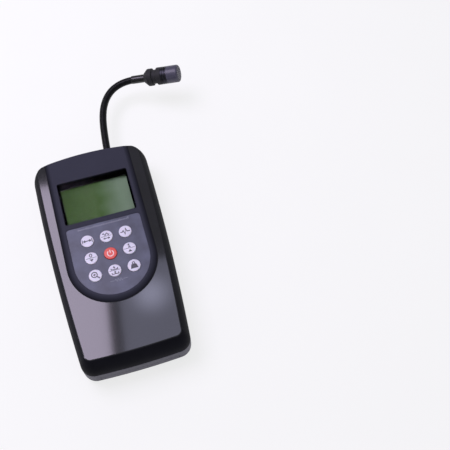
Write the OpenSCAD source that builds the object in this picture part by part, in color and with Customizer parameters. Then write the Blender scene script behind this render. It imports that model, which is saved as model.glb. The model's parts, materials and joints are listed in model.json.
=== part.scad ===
// Hand-held belt tension tester: a two-shell meter with a display, keys and a microphone on a bending neck.
// Millimetres. The meter lies on its back: +X right, +Y to the neck end, +Z out of the front.
// The origin is the middle of the back face.

/* [Housing] */
// Length of the housing
body_l = 126; // [124:0.5:130]
// Greatest width of the housing
body_w = 65; // [64:0.5:68]
// Thickness from the back face to the key tops
body_t = 27; // [26.6:0.2:29]
// Height of the parting line above the back face
seam_z = 13; // [12.4:0.2:13.6]
// Wall of both shells
wall = 2; // [1.8:0.1:2.3]
// Where along the length the housing is widest
widest_y = 40; // [34:1:44]
// Radius of the long side curve
side_r = 1150; // [1050:10:1400]
// Radius of the arched neck end
top_r = 156; // [140:2:200]
// Radius of the almost straight lower end
bottom_r = 400; // [300:10:600]
// Corner radius at the neck end
corner_top_r = 9; // [8:0.5:11]
// Corner radius at the lower end
corner_bottom_r = 7; // [6.8:0.2:8.4]
// How far the front edge leans in from the parting line
flank = 3.6; // [3:0.1:4]
// Rounding of the back edge, inwards
back_in = 4; // [3.4:0.1:4.2]
// Rounding of the back edge, upwards
back_h = 4.5; // [4:0.1:5.5]

/* [Raised front panel] */
// Half width of the raised panel at its foot, and radius of its round end
panel_r = 24; // [23.4:0.1:24.6]
// Height of the raised panel over the front face
panel_h = 1.4; // [1.1:0.1:1.7]
// From the middle key to the centre of the round end
panel_drop = 3; // [2.5:0.25:4]
// Width of the sloped edge of the raised panel
panel_slope = 2.9; // [2.4:0.1:3.2]
// Margin from the panel's foot to the key sheet
sheet_margin = 4; // [3.7:0.1:4.4]
// Thickness of the key sheet
sheet_t = 0.35; // [0.25:0.05:0.45]
// From the window recess to the upper edge of the key sheet
sheet_drop = 3; // [2.4:0.1:3.4]
// Radius of the upper corners of the key sheet
sheet_corner = 1.8; // [1.2:0.1:2.4]

/* [Display] */
// Width of the window recess
window_w = 39; // [37:0.5:39.4]
// Length of the window recess
window_l = 26.2; // [25:0.2:26.6]
// From the neck end of the housing to the window recess
window_drop = 19.3; // [18.6:0.1:20]
// Depth of the lens face below the panel
window_depth = 1.4; // [1:0.1:1.6]
// Thickness of the lens
lens_t = 1.2; // [1:0.1:1.4]
// Thickness of the display glass
glass_t = 1.6; // [1.2:0.1:1.9]

/* [Keys] */
// Diameter of a key
key_d = 6.8; // [6:0.1:7.2]
// Distance between keys, both ways
key_pitch = 10.2; // [9.8:0.1:10.6]
// From the window recess to the middle key
keys_drop = 22.5; // [21.5:0.25:23.5]
// Height of the key tops over the raised panel
key_proud = 0.4; // [0.3:0.05:0.6]
// Travel of a key
key_travel = 0.5; // [0.3:0.05:0.6]

/* [Battery] */
// Diameter of a cell
cell_d = 10.5; // [10.1:0.1:10.6]
// Length of a cell with its nub
cell_l = 44.5; // [43.5:0.1:45]
// Thickness of the sliding battery cover
cover_t = 2.4; // [2.2:0.1:2.6]

/* [Neck] */
// Outside diameter of the neck
neck_d = 4.3; // [4.1:0.1:4.9]
// Sideways place of the neck on the end wall
neck_x = 12; // [8:0.5:13]
// Length of one neck link between joint centres
link_l = 6.5; // [6.2:0.1:7.4]

/* [Microphone] */
// Diameter of the microphone head
mic_d = 10.4; // [10:0.1:11.6]
// Length of the sleeve over the end of the neck
sleeve_l = 9.5; // [8.5:0.1:11]
// Length of the rubber boot
boot_l = 11.1; // [10.5:0.1:12.5]
// Length of the ringed barrel
barrel_l = 3.6; // [3.2:0.1:4.2]
// Length of the perforated cap
cap_l = 7.1; // [6.6:0.1:8]

/* [Hidden] */
$fn = 48;

// Clearances: a slip fit round a shaft, a gap between parts that never rub, a gap between sliding parts
slip = 0.05;
gap = 0.1;
slide_gap = 0.2;
over = 1;

// Heights through the front, from the key tops down
panel_z = body_t - key_proud;
face_z = panel_z - panel_h;
sheet_recess = 0.25;
sheet_z = panel_z - sheet_recess - sheet_t;
key_web = 1.8;
web_z = sheet_z - key_web;
key_flange_t = 0.6;
key_flange_w = 0.7;
key_flange_gap = 0.3;
key_edge = 0.32;
key_crown = 0.09;
key_stem_r = 1.5;
key_play = 0.15;
key_flange_z = web_z - key_flange_gap - key_flange_t;
board_t = 1.6;
key_stack = 6.4;
board_top = web_z - key_stack;
board_z = board_top - board_t;
dome_foot_r = 4.2;
dome_foot_t = 0.4;
dome_r = 3;
dome_nose_r = 1.8;
dome_skirt = 0.5;
dome_roof = 1.3;
dome_skin = 0.3;
dome_h = key_travel + dome_roof + dome_skin;
lens_z = panel_z - window_depth - lens_t;
ledge_t = 0.8;
ledge_z = lens_z - ledge_t;

// Housing: parting groove, crisp front edge, lean of the front towards the neck end, overlapping lip
groove = 0.3;
edge_h = 0.35;
edge_in = 0.5;
lean = 0.8;
flank_steps = 6;
back_steps = 6;
front_z = seam_z + groove;
face_extra = 0.2;
face_t = wall + face_extra;
cavity_z = face_z - face_t;
lip_in = wall * 0.55;
lip_h = 1.2;
lip_root = 0.6;
fuse = 0.4;
hole_room = 0.6;
side_c = [body_w / 2 - side_r, widest_y];
top_c = [0, body_l / 2 - top_r];
bottom_c = [0, bottom_r - body_l / 2];
corner_top = meet(side_c, side_r - corner_top_r, top_c, top_r - corner_top_r, 1);
corner_bottom = meet(side_c, side_r - corner_bottom_r, bottom_c, bottom_r - corner_bottom_r, -1);

// Raised panel, key sheet and window, placed one after the other from the neck end
window_y = body_l / 2 - window_drop - window_l / 2;
window_low = window_y - window_l / 2;
sheet_top_y = window_low - sheet_drop;
keys_y = window_low - keys_drop;
panel_y = keys_y - panel_drop;
pocket_margin = 4.5;
pocket_r = panel_r - pocket_margin;
pocket_corner = 0.5;
pocket_top_y = body_l / 2 - corner_top_r;
sheet_r = panel_r - sheet_margin;
key_hole_r = key_d / 2 + key_play;
ledge_side = 1.1;
ledge_low = 1.3;
ledge_high = 2.4;
view_w = window_w - 2 * ledge_side;
view_l = window_l - ledge_low - ledge_high;
view_y = window_y + (ledge_low - ledge_high) / 2;
rim = 1.6;
rim_corner = 1.5;
window_corner = 1;
view_corner = 0.8;
small_corner = 0.3;

// Display stack between the board and the ledge of the window
frame_side = 1.7;
frame_end = 1.6;
frame_w = window_w + 2 * frame_side;
frame_l = window_l + 2 * frame_end;
frame_wall = 1;
frame_corner = 1;
frame_back = 0.4;
frame_top = min(ledge_z, cavity_z) - gap;
frame_lip = 0.6;
glass_w = frame_w - 2 * frame_wall - 2 * slide_gap;
glass_l = frame_l - 2 * frame_wall - 2 * slide_gap;
glass_z = frame_top - frame_lip - gap - glass_t;
strip_w = 2.4;
strip_inset = 0.4;
strip_end = 1.5;
guide_gap = 0.6;
guide_side = 0.5;
guide_w = glass_w - 2 * guide_side;
guide_l = glass_l - 2 * (strip_w + strip_inset + guide_gap);

// Board, its screws and the parts on its underside
board_side = 10.5;
board_w = body_w - 2 * board_side;
board_tail = 11.3;
board_head = 7.5;
board_corner = 2;
board_room = 0.4;
board_screw_in = [14.5, 3.1];
board_low_x = 18.5;
board_low_rise = 9;
board_y0 = keys_y - key_pitch - board_tail;
board_y1 = body_l / 2 - board_head;
board_screw_x = body_w / 2 - board_screw_in[0];
board_screw_y = board_y1 - board_screw_in[1];
board_low_y = keys_y + board_low_rise;
board_screw_spots = [
    [-board_screw_x, board_screw_y], [board_screw_x, board_screw_y],
    [-board_low_x, board_low_y], [board_low_x, board_low_y]
];
board_boss_r = 2.4;
board_screw_r = 0.95;
board_head_r = 1.9;
board_head_t = 1.2;
board_screw_l = 4.8;
chip_w = 12;
chip_t = 1.6;
amp_w = 4;
amp_l = 5;
amp_x = [-12, -5.5];
amp_drop = 11.5;
amp_y = board_y1 - amp_drop;
socket_l = 5.5;
socket_w = 7.5;
socket_below = 2;
socket_drop = 9.5;
socket_t = board_z - seam_z + socket_below;
socket_y = board_y1 - socket_drop;
lead_r = 0.9;

// Case screws, two beside the display and two under the battery cover
case_in = [7.5, 13];
case_low_x = 12;
case_low_in = 6.9;
case_x = body_w / 2 - case_in[0];
case_top_y = body_l / 2 - case_in[1];
case_low_y = case_low_in - body_l / 2;
case_screw_spots = [
    [-case_x, case_top_y], [case_x, case_top_y],
    [-case_low_x, case_low_y], [case_low_x, case_low_y]
];
boss_r = 3.2;
case_screw_r = 1.2;
case_head_r = 2.2;
case_head_t = 1.5;
case_seat_z = 5;
case_screw_bite = 4;
case_screw_l = seam_z - case_seat_z + case_screw_bite;
pocket_fit = 0.35;

// Battery bay in the rear shell and its dovetailed cover
cell_pitch = cell_d + gap;
contact_room = 2.75;
bay_w = 4 * cell_pitch + 2 * slide_gap;
bay_l = cell_l + 2 * contact_room;
bay_wall = 1.6;
bay_room = 12;
bay_y0 = bay_room - body_l / 2;
bay_y1 = bay_y0 + bay_l;
cell_under = 0.5;
cell_over = 0.3;
cell_z = cover_t + cell_under + cell_d / 2;
bay_top = cell_z + cell_d / 2 + cell_over;
bay_roof = 1.2;
bay_foot = 0.5;
board_rest = 2;
cover_side = 0.95;
cover_w = bay_w - 2 * cover_side;
cover_lean = 1.3;
cover_short = 0.9;
cover_y1 = bay_y1 - cover_short;
cover_end_t = 2.1;
cover_end_h = 8;
shelf_gap = 0.6;
shelf_z = cover_t + shelf_gap;
shelf_t = 2;
grip_ribs = 5;
grip_w = 16;
grip_pitch = 2.4;
grip_deep = 0.6;
nub_r = 1.9;
nub_l = 1.2;
wire_r = 0.35;
contact_r = 4.6;
contact_t = 0.5;
contact_nose_r = 2.6;
spring_tip_r = 2;
spring_foot_r = 4.2;
spring_foot_w = 0.5;
spring_foot_t = 0.6;

// Neck: bush in the end wall, then a chain of ball-ended links that turns to the right and rises at its end
neck_z = seam_z;
neck_r = neck_d / 2;
bush_r = 4;
bush_flange_r = 5.2;
seat_x = neck_x + bush_flange_r + slide_gap;
seat_sink = 0.4;
seat_y = top_c[1] + sqrt(top_r * top_r - seat_x * seat_x) - seat_sink;
bush_flange_t = 1.35;
bush_in = 5.2;
nut_r = 6.2;
nut_t = 2.3;
pad_t = 2;
pad_short = 0.3;
pad_side = 0.4;
ball_r = neck_r * 0.84;
ball_play = 0.07;
socket_r = ball_r + ball_play;
socket_lap = 0.5;
throat_r = 1.05;
shoulder = 1.75;
bore_r = 0.5;
nose_l = 1.3;
nose_base = 0.9;
nose_tip = 0.3;
first_y = seat_y + bush_flange_t + nose_l + shoulder;
turns = [4, 1.5, 1, 4, 6.5, 10.5, 17, 24.5, 23.5, 16];
headings = [for (i = [0:9]) total(turns, i)];
level_links = 6;
rise_step = 3.75;
rises = [for (i = [0:9]) rise_step * max(0, i + 1 - level_links)];
joints = [for (i = [0:9]) joint_spot(i)];

// Microphone head, measured along its own axis from the last joint of the neck
mic_r = mic_d / 2;
sleeve_wall = 0.35;
sleeve_r = neck_r + sleeve_wall;
sleeve_s = 0.9;
boot_lap = 1.1;
boot_lip = 0.5;
boot_bevel = 0.3;
boot_shoulder = [0.6, 0.7];
boot_s = sleeve_s + sleeve_l - boot_lap;
boot_end = boot_s + boot_l;
barrel_end = boot_end + barrel_l;
cap_end = barrel_end + cap_l;
waist_r = mic_r * 0.81;
cap_wall = 0.45;
spigot_l = 2;
capsule_room = 1.05;
capsule_r = mic_r - capsule_room;
ring_deep = 0.3;
barrel_floor = 1;
foam_room = 0.9;
cap_soft = 1.2;
cap_step = 0.8;
hole_r = 0.42;
hole_pitch = mic_r * 0.25;

// Sum of the first values of a list, up to place i
function total(list, i) = i < 0 ? 0 : list[i] + total(list, i - 1);

// Direction of the link after joint i
function link_way(i) = [
    sin(headings[i]) * cos(rises[i]),
    cos(headings[i]) * cos(rises[i]),
    sin(rises[i])
];

// Joint i of the neck: the first one stands before the bush, each next one a link further on
function joint_spot(i) = i == 0 ? [neck_x, first_y, neck_z] : joint_spot(i - 1) + link_l * link_way(i - 1);

// Crossing of two circles, on the chosen side of the line between their centres
function meet(c1, r1, c2, r2, side) =
    let (d = norm(c2 - c1), u = (c2 - c1) / d, a = (r1 * r1 - r2 * r2 + d * d) / (2 * d))
    c1 + a * u + side * sqrt(r1 * r1 - a * a) * [-u[1], u[0]];

// Points on an arc, without its last one
function arc(c, r, from, to, n) =
    [for (i = [0:n - 1]) let (a = from + (to - from) * i / n) c + r * [cos(a), sin(a)]];

function bearing(v) = atan2(v[1], v[0]);

// Right half of the housing outline, set in by d: five tangent arcs from the lower end to the neck end
function half_outline(d) =
    let (
        a1 = bearing(corner_bottom - bottom_c),
        a2 = bearing(corner_bottom - side_c),
        a3 = bearing(corner_top - side_c),
        a4 = bearing(corner_top - top_c)
    )
    concat(
        arc(bottom_c, bottom_r - d, -90, a1, 3),
        arc(corner_bottom, corner_bottom_r - d, a1, a2, 9),
        arc(side_c, side_r - d, a2, a3, 10),
        arc(corner_top, corner_top_r - d, a3, a4, 9),
        arc(top_c, top_r - d, a4, 90, 6)
    );

// Whole outline, the left half being the mirrored right half
function outline(d) =
    let (half = half_outline(d), n = len(half))
    concat(half, [[0, body_l / 2 - d]], [for (i = [n - 1:-1:1]) [-half[i][0], half[i][1]]]);

function ring(d, z, shift = 0) = [for (p = outline(d)) [p[0], p[1] + shift, z]];

// Lean of the front edge at height z: none at the parting line, growing with the square of the height
function rise(z) = pow(max(z - front_z, 0) / (face_z - front_z), 2);

function front_ring(z, inset = 0) = ring(flank * rise(z) + inset, z, lean * rise(z));

// Outline of the raised panel: straight sides and a half-round end
function tongue_ring(r, z) =
    concat([for (i = [0:28]) let (a = 180 + i * 180 / 28) [r * cos(a), panel_y + r * sin(a), z]],
        [[r, body_l / 2, z], [-r, body_l / 2, z]]);

// Solid through a stack of rings that run anticlockwise and have as many points each
module loft(rings) {
    n = len(rings[0]);
    last = len(rings) - 1;
    polyhedron([for (r = rings) each r], concat(
        [[for (i = [0:n - 1]) i]],
        [for (k = [0:last - 1], i = [0:n - 1])
            let (j = (i + 1) % n) [k * n + i, (k + 1) * n + i, (k + 1) * n + j, k * n + j]],
        [[for (i = [n - 1:-1:0]) last * n + i]]
    ));
}

module rounded_rect(w, l, r) {
    square([w - 2 * r, l], center = true);
    square([w, l - 2 * r], center = true);
    for (x = [-1, 1], y = [-1, 1])
        translate([x * (w / 2 - r), y * (l / 2 - r)])
            circle(r);
}

// Plate with round corners, standing on height z
module plate(w, l, r, y, z, t) {
    translate([0, y, z])
        linear_extrude(t)
            rounded_rect(w, l, r);
}

// Plate with the outline of the raised panel, up to a straight upper edge with round corners
module tongue_plate(r, top_y, corner, z, t) {
    translate([0, 0, z])
        linear_extrude(t) {
            translate([0, panel_y])
                circle(r, $fn = 96);
            translate([-r, panel_y])
                square([2 * r, top_y - corner - panel_y]);
            translate([corner - r, panel_y])
                square([2 * (r - corner), top_y - panel_y]);
            for (x = [-1, 1])
                translate([x * (r - corner), top_y - corner])
                    circle(corner);
        }
}

module tube(r_out, r_in, h) {
    difference() {
        cylinder(r = r_out, h = h);
        translate([0, 0, -over])
            cylinder(r = r_in, h = h + 2 * over);
    }
}

// Turns the children's +Z to +Y
module along_y() {
    rotate([-90, 0, 0])
        children();
}

// Front half of the housing, solid, up to the given height
module front_solid(top_z) {
    step = (top_z - edge_h - front_z) / flank_steps;
    loft(concat(
        [ring(groove, seam_z)],
        [for (i = [0:flank_steps]) front_ring(front_z + i * step)],
        [front_ring(top_z - edge_h * 0.25, edge_in * 0.4), front_ring(top_z, edge_in)]
    ));
}

module front_cavity() {
    step = (cavity_z - seam_z + over) / 4;
    loft([for (i = [0:4]) front_ring(seam_z - over + i * step, wall)]);
    translate([0, 0, seam_z - over])
        linear_extrude(over + lip_h + gap)
            polygon(outline(lip_in - gap));
    tongue_plate(pocket_r, pocket_top_y, pocket_corner, cavity_z - over, web_z - cavity_z + over);
}

module raised_panel() {
    intersection() {
        front_solid(panel_z);
        loft([
            tongue_ring(panel_r, face_z - over),
            tongue_ring(panel_r, face_z),
            tongue_ring(panel_r - panel_slope * 0.9, panel_z - edge_h * 0.5),
            tongue_ring(panel_r - panel_slope, panel_z)
        ]);
    }
}

// Rear half of the housing, solid: an elliptical back edge, then straight up to the parting groove
module rear_solid() {
    loft(concat(
        [for (i = [0:back_steps]) let (a = i * 90 / back_steps)
            ring(back_in * (1 - sin(a)), back_h * (1 - cos(a)))],
        [ring(0, seam_z - groove), ring(groove, seam_z)]
    ));
}

module rear_cavity() {
    loft(concat(
        [for (i = [0:3]) let (a = i * 30)
            ring(wall + back_in * 0.7 * (1 - sin(a)), wall + back_h * (1 - cos(a)))],
        [ring(wall, seam_z + over)]
    ));
}

// Hole for the neck bush through the end wall, half in each shell, with a flat seat for its flange
module bush_hole() {
    translate([neck_x, seat_y, neck_z])
        along_y() {
            translate([0, 0, -3 * pad_t])
                cylinder(r = bush_r + gap, h = 3 * pad_t + over);
            cylinder(r = bush_flange_r + slide_gap, h = 3 * over);
        }
}

// Flat inside face for the nut of the bush, from one height to another
module bush_pad(from, to) {
    translate([neck_x - nut_r - pad_side, seat_y - pad_t, from])
        cube([2 * (nut_r + pad_side), pad_t - pad_short, to - from]);
}

module window_cuts() {
    plate(window_w, window_l, window_corner, window_y, lens_z, panel_z - lens_z + over);
    plate(view_w, view_l, view_corner, view_y, ledge_z - over, ledge_t + 2 * over);
}

module key_places() {
    for (x = [-1:1], y = [-1:1])
        translate([x * key_pitch, keys_y + y * key_pitch, 0])
            children();
}

module front_shell() {
    color("dimgray")
        difference() {
            union() {
                difference() {
                    union() {
                        front_solid(face_z);
                        raised_panel();
                    }
                    front_cavity();
                }
                plate(window_w + 2 * rim, window_l + 2 * rim, rim_corner, window_y, ledge_z,
                    web_z - ledge_z + fuse);
                intersection() {
                    front_solid(face_z);
                    union() {
                        for (p = case_screw_spots)
                            translate([p[0], p[1], seam_z + gap])
                                cylinder(r = boss_r, h = cavity_z - seam_z + fuse);
                        bush_pad(seam_z + lip_h + 2 * gap, seam_z + nut_r + pad_side);
                    }
                }
                for (p = board_screw_spots)
                    translate([p[0], p[1], board_top])
                        cylinder(r = board_boss_r, h = web_z - board_top + fuse);
            }
            tongue_plate(sheet_r + gap, sheet_top_y + gap, sheet_corner + gap, sheet_z,
                panel_z - sheet_z + over);
            window_cuts();
            key_places()
                translate([0, 0, web_z - over])
                    cylinder(r = key_hole_r, h = key_web + 2 * over);
            for (p = case_screw_spots)
                translate([p[0], p[1], seam_z])
                    cylinder(r = case_screw_r + slip, h = case_seat_z + case_screw_l - seam_z + hole_room);
            for (p = board_screw_spots)
                translate([p[0], p[1], board_top - over])
                    cylinder(r = board_screw_r + slip, h = board_screw_l - board_t + over + hole_room);
            bush_hole();
        }
}

// Cross-section of the cover opening, grown by the given gap, drawn out along the length
module dovetail(grow, y0, y1) {
    low = cover_w / 2 + grow;
    high = cover_w / 2 + cover_lean + grow;
    tall = cover_t + grow;
    translate([0, y1, 0])
        rotate([90, 0, 0])
            linear_extrude(y1 - y0)
                polygon([[-low, -grow], [low, -grow], [high, tall], [-high, tall]]);
}

// End wall of the cover, or its opening, grown by the given gap
module cover_end(grow) {
    translate([-cover_w / 2 - grow, -body_l / 2 - over, 0])
        cube([cover_w + 2 * grow, cover_end_t + over + grow, cover_end_h + grow]);
}

module lip() {
    difference() {
        translate([0, 0, seam_z - lip_root])
            linear_extrude(lip_h + lip_root)
                difference() {
                    polygon(outline(lip_in));
                    polygon(outline(wall));
                }
        translate([neck_x - nut_r - over, body_l / 2 - corner_top_r, seam_z])
            cube([2 * (nut_r + over), corner_top_r, lip_h + over]);
    }
}

module battery_bay() {
    w = bay_w + 2 * bay_wall;
    translate([-w / 2, bay_y0 - bay_wall, bay_foot])
        cube([w, bay_l + 2 * bay_wall, bay_top + bay_roof - bay_foot]);
    translate([-bay_w / 4, board_y0 + board_rest, bay_top])
        cube([bay_w / 2, board_rest, board_z - gap - bay_top]);
}

module rear_shell() {
    color("gray")
        difference() {
            union() {
                difference() {
                    rear_solid();
                    rear_cavity();
                }
                lip();
                intersection() {
                    rear_solid();
                    union() {
                        for (p = case_screw_spots)
                            translate([p[0], p[1], 0])
                                cylinder(r = boss_r, h = seam_z);
                        translate([-body_w / 2, -body_l / 2, shelf_z])
                            cube([body_w, body_l / 2 + bay_y0, shelf_t]);
                        bush_pad(seam_z - nut_r - pad_side, seam_z - gap);
                    }
                }
                battery_bay();
            }
            translate([-bay_w / 2, bay_y0, cover_t])
                cube([bay_w, bay_l, bay_top - cover_t]);
            dovetail(slide_gap, -body_l, cover_y1 + slide_gap);
            cover_end(slide_gap);
            for (p = case_screw_spots) {
                translate([p[0], p[1], -over])
                    cylinder(r = case_head_r + pocket_fit, h = case_seat_z + over);
                translate([p[0], p[1], 0])
                    cylinder(r = case_screw_r + slide_gap, h = seam_z + over);
            }
            translate([-cover_w / 2 - slide_gap, -body_l / 2 - over, 0])
                cube([cover_w + 2 * slide_gap, body_l / 2 + bay_y0, shelf_z]);
            bush_hole();
        }
}

// Pan-headed screw that points up from height z
module screw(r, l, head_r, head_t, z) {
    translate([0, 0, z])
        cylinder(r = r, h = l);
    difference() {
        translate([0, 0, z - head_t])
            cylinder(r = head_r, h = head_t);
        for (a = [0, 90])
            rotate([0, 0, a])
                translate([-head_r * 0.6, -head_r * 0.14, z - head_t - over])
                    cube([head_r * 1.2, head_r * 0.28, head_t * 0.5 + over]);
    }
}

module case_screws() {
    color("silver")
        for (p = case_screw_spots)
            translate([p[0], p[1], 0])
                screw(case_screw_r, case_screw_l, case_head_r, case_head_t, case_seat_z);
}

module board_screws() {
    color("silver")
        for (p = board_screw_spots)
            translate([p[0], p[1], 0])
                screw(board_screw_r, board_screw_l, board_head_r, board_head_t, board_z);
}

// Sliding cover: a dovetailed plate that turns up at the lower end, with ribs to push on
module battery_cover() {
    color("gray")
        difference() {
            intersection() {
                rear_solid();
                union() {
                    dovetail(0, -body_l, cover_y1);
                    cover_end(0);
                }
            }
            for (i = [0:grip_ribs - 1])
                translate([-grip_w / 2, bay_y0 + grip_pitch * i, -over])
                    cube([grip_w, grip_pitch / 2, over + grip_deep]);
        }
}

// One place per cell, every second one turned round
module cell_places() {
    for (i = [0:3])
        translate([(i - 1.5) * cell_pitch, (bay_y0 + bay_y1) / 2, cell_z])
            rotate([0, 0, 180 * (i % 2)])
                children();
}

module cells() {
    color("goldenrod")
        cell_places()
            translate([0, -cell_l / 2, 0])
                along_y() {
                    cylinder(r = cell_d / 2, h = cell_l - nub_l);
                    cylinder(r = nub_r, h = cell_l);
                }
}

// Contact cap that meets the nub of a cell
module cell_caps() {
    color("silver")
        cell_places()
            translate([0, cell_l / 2 + gap, 0])
                along_y() {
                    cylinder(r = contact_nose_r, h = contact_room - 2 * gap);
                    translate([0, 0, contact_room - contact_t - 2 * gap])
                        cylinder(r = contact_r, h = contact_t);
                }
}

// Conical spring that pushes a cell against its cap: round wire along a widening helix, on a flat foot
module cell_springs() {
    turns_n = 2.25;
    sides = 6;
    steps = 30;
    rise_l = contact_room - 2 * gap - 3 * wire_r;
    foot_s = contact_room - spring_foot_t - gap / 2 - 2 * gap;
    widen = (spring_foot_r - spring_tip_r) / steps;
    color("silver")
        cell_places()
            translate([0, -cell_l / 2 - gap, 0])
                rotate([90, 0, 0]) {
                    loft([for (k = [0:steps])
                        let (a = -360 * turns_n * k / steps, r = spring_tip_r + widen * k)
                        [for (i = [0:sides - 1])
                            let (b = 360 * i / sides, q = r + wire_r * cos(b))
                            [q * cos(a), q * sin(a), wire_r + rise_l * k / steps + wire_r * sin(b)]]]);
                    translate([0, 0, foot_s])
                        tube(spring_foot_r + spring_foot_w, spring_foot_r - spring_foot_w, spring_foot_t);
                }
}

module display_lens() {
    color("lightcyan")
        plate(window_w - 2 * gap, window_l - 2 * gap, window_corner - gap, window_y, lens_z, lens_t);
}

module display_frame() {
    color("black")
        difference() {
            plate(frame_w, frame_l, frame_corner, window_y, board_top, frame_top - board_top);
            plate(glass_w + 2 * slide_gap, glass_l + 2 * slide_gap, small_corner, window_y, board_top - over,
                frame_top - frame_lip - board_top + over);
            plate(view_w + 2 * frame_back, view_l + 2 * frame_back, view_corner, view_y, board_top,
                frame_top - board_top + over);
        }
}

module display_glass() {
    color("darkolivegreen")
        plate(glass_w, glass_l, small_corner, window_y, glass_z, glass_t);
}

module light_guide() {
    color("palegreen")
        plate(guide_w, guide_l, small_corner, window_y, board_top + gap, glass_z - board_top - 2 * gap);
}

// Springy strips that join the display glass to the board, one along each long edge
module contact_strips() {
    color("salmon")
        for (s = [-1, 1])
            plate(glass_w - 2 * strip_end, strip_w, small_corner,
                window_y + s * (glass_l - strip_w - strip_inset) / 2, board_top, glass_z - board_top - gap);
}

module main_board() {
    color("darkgreen")
        difference() {
            plate(board_w, board_y1 - board_y0, board_corner, (board_y0 + board_y1) / 2, board_z, board_t);
            for (p = case_screw_spots)
                translate([p[0], p[1], board_z - over])
                    cylinder(r = boss_r + board_room, h = board_t + 2 * over);
            for (p = board_screw_spots)
                translate([p[0], p[1], board_z - over])
                    cylinder(r = board_screw_r + slide_gap, h = board_t + 2 * over);
        }
}

module controller_chip() {
    color("darkslategray")
        plate(chip_w, chip_w, small_corner, window_y, board_z - chip_t, chip_t);
}

module amplifier_chips() {
    color("darkslategray")
        for (x = amp_x)
            translate([x, 0, 0])
                plate(amp_w, amp_l, small_corner, amp_y, board_z - chip_t, chip_t);
}

module board_socket() {
    color("ivory")
        difference() {
            translate([neck_x - socket_w / 2, socket_y - socket_l / 2, board_z - socket_t])
                cube([socket_w, socket_l, socket_t]);
            translate([neck_x, socket_y, neck_z])
                along_y()
                    cylinder(r = lead_r + slip, h = socket_l);
        }
}

// Lead from the end of the neck bush into the socket on the board
module lead() {
    color("black")
        translate([neck_x, socket_y + gap, neck_z])
            along_y()
                cylinder(r = lead_r, h = seat_y - bush_in - socket_y - 2 * gap);
}

module key_sheet() {
    color("slategray")
        difference() {
            tongue_plate(sheet_r, sheet_top_y, sheet_corner, sheet_z, sheet_t);
            key_places()
                translate([0, 0, sheet_z - over])
                    cylinder(r = key_hole_r, h = sheet_t + 2 * over);
        }
}

// Key: a crowned cap, a flange that keeps it in, and a stem that ends just over its dome
module key(col, row) {
    r = key_d / 2;
    stem_z = board_top + dome_h + gap;
    translate([col * key_pitch, keys_y + row * key_pitch, 0])
        rotate_extrude()
            polygon([
                [0, stem_z], [key_stem_r, stem_z], [key_stem_r, key_flange_z],
                [r + key_flange_w, key_flange_z], [r + key_flange_w, key_flange_z + key_flange_t],
                [r, key_flange_z + key_flange_t],
                for (i = [0:4]) let (a = i * 22.5)
                    [r - key_edge * (1 - cos(a)), body_t - key_crown - key_edge * (1 - sin(a))],
                [0, body_t]
            ]);
}

// Rubber dome under a key: a flat foot, a thin skirt and a solid nose
module dome(col, row) {
    translate([col * key_pitch, keys_y + row * key_pitch, board_top])
        rotate_extrude()
            polygon([
                [0, dome_roof], [dome_nose_r - dome_skirt - gap, dome_roof], [dome_r - dome_skirt, 0],
                [dome_foot_r, 0], [dome_foot_r, dome_foot_t], [dome_r, dome_foot_t],
                [dome_nose_r, dome_roof + dome_skin], [dome_nose_r - gap, dome_h], [0, dome_h]
            ]);
}

module key_top_left() { color("ghostwhite") key(-1, 1); }

module key_top_mid() { color("ghostwhite") key(0, 1); }

module key_top_right() { color("ghostwhite") key(1, 1); }

module key_mid_left() { color("ghostwhite") key(-1, 0); }

module key_power() { color("tomato") key(0, 0); }

module key_mid_right() { color("ghostwhite") key(1, 0); }

module key_low_left() { color("ghostwhite") key(-1, -1); }

module key_low_mid() { color("ghostwhite") key(0, -1); }

module key_low_right() { color("ghostwhite") key(1, -1); }

module dome_top_left() { color("gainsboro") dome(-1, 1); }

module dome_top_mid() { color("gainsboro") dome(0, 1); }

module dome_top_right() { color("gainsboro") dome(1, 1); }

module dome_mid_left() { color("gainsboro") dome(-1, 0); }

module dome_power() { color("gainsboro") dome(0, 0); }

module dome_mid_right() { color("gainsboro") dome(1, 0); }

module dome_low_left() { color("gainsboro") dome(-1, -1); }

module dome_low_mid() { color("gainsboro") dome(0, -1); }

module dome_low_right() { color("gainsboro") dome(1, -1); }

// Ball on a narrow throat, as every link and the bush carry at the far end, with its centre at height s
module ball_end(s) {
    translate([0, 0, s - shoulder - gap])
        cylinder(r = throat_r, h = shoulder);
    translate([0, 0, s])
        sphere(r = ball_r);
}

// Round space that takes the ball of the link before
module ball_socket() {
    sphere(r = socket_r);
    translate([0, 0, -2 * socket_lap])
        cylinder(r = socket_r * 0.96, h = 2 * socket_lap);
}

// Bush clamped in the end wall: flange outside, thread inside, and the ball of the first neck joint
module neck_bush() {
    color("silver")
        translate([neck_x, seat_y, neck_z])
            along_y()
                difference() {
                    union() {
                        translate([0, 0, -bush_in])
                            cylinder(r = bush_r, h = bush_in);
                        translate([0, 0, slip])
                            cylinder(r = bush_flange_r, h = bush_flange_t);
                        translate([0, 0, -slip])
                            cylinder(r = bush_r, h = bush_flange_t);
                        translate([0, 0, bush_flange_t])
                            cylinder(r1 = neck_r + nose_base, r2 = neck_r + nose_tip, h = nose_l);
                        ball_end(first_y - seat_y);
                    }
                    translate([0, 0, -bush_in - over])
                        cylinder(r = bore_r, h = 2 * bush_in + first_y - seat_y);
                    translate([0, 0, -bush_in - over])
                        cylinder(r = lead_r + slip, h = bush_in + over);
                }
}

module bush_nut() {
    color("silver")
        translate([neck_x, seat_y - pad_t - slip - nut_t, neck_z])
            along_y()
                difference() {
                    cylinder(r = nut_r, h = nut_t, $fn = 6);
                    translate([0, 0, -over])
                        cylinder(r = bush_r + slip, h = nut_t + 2 * over);
                }
}

// Places the children at a joint of the neck, with +Z along the link after it
module at_joint(i) {
    translate(joints[i])
        rotate([rises[i], 0, -headings[i]])
            along_y()
                children();
}

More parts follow.
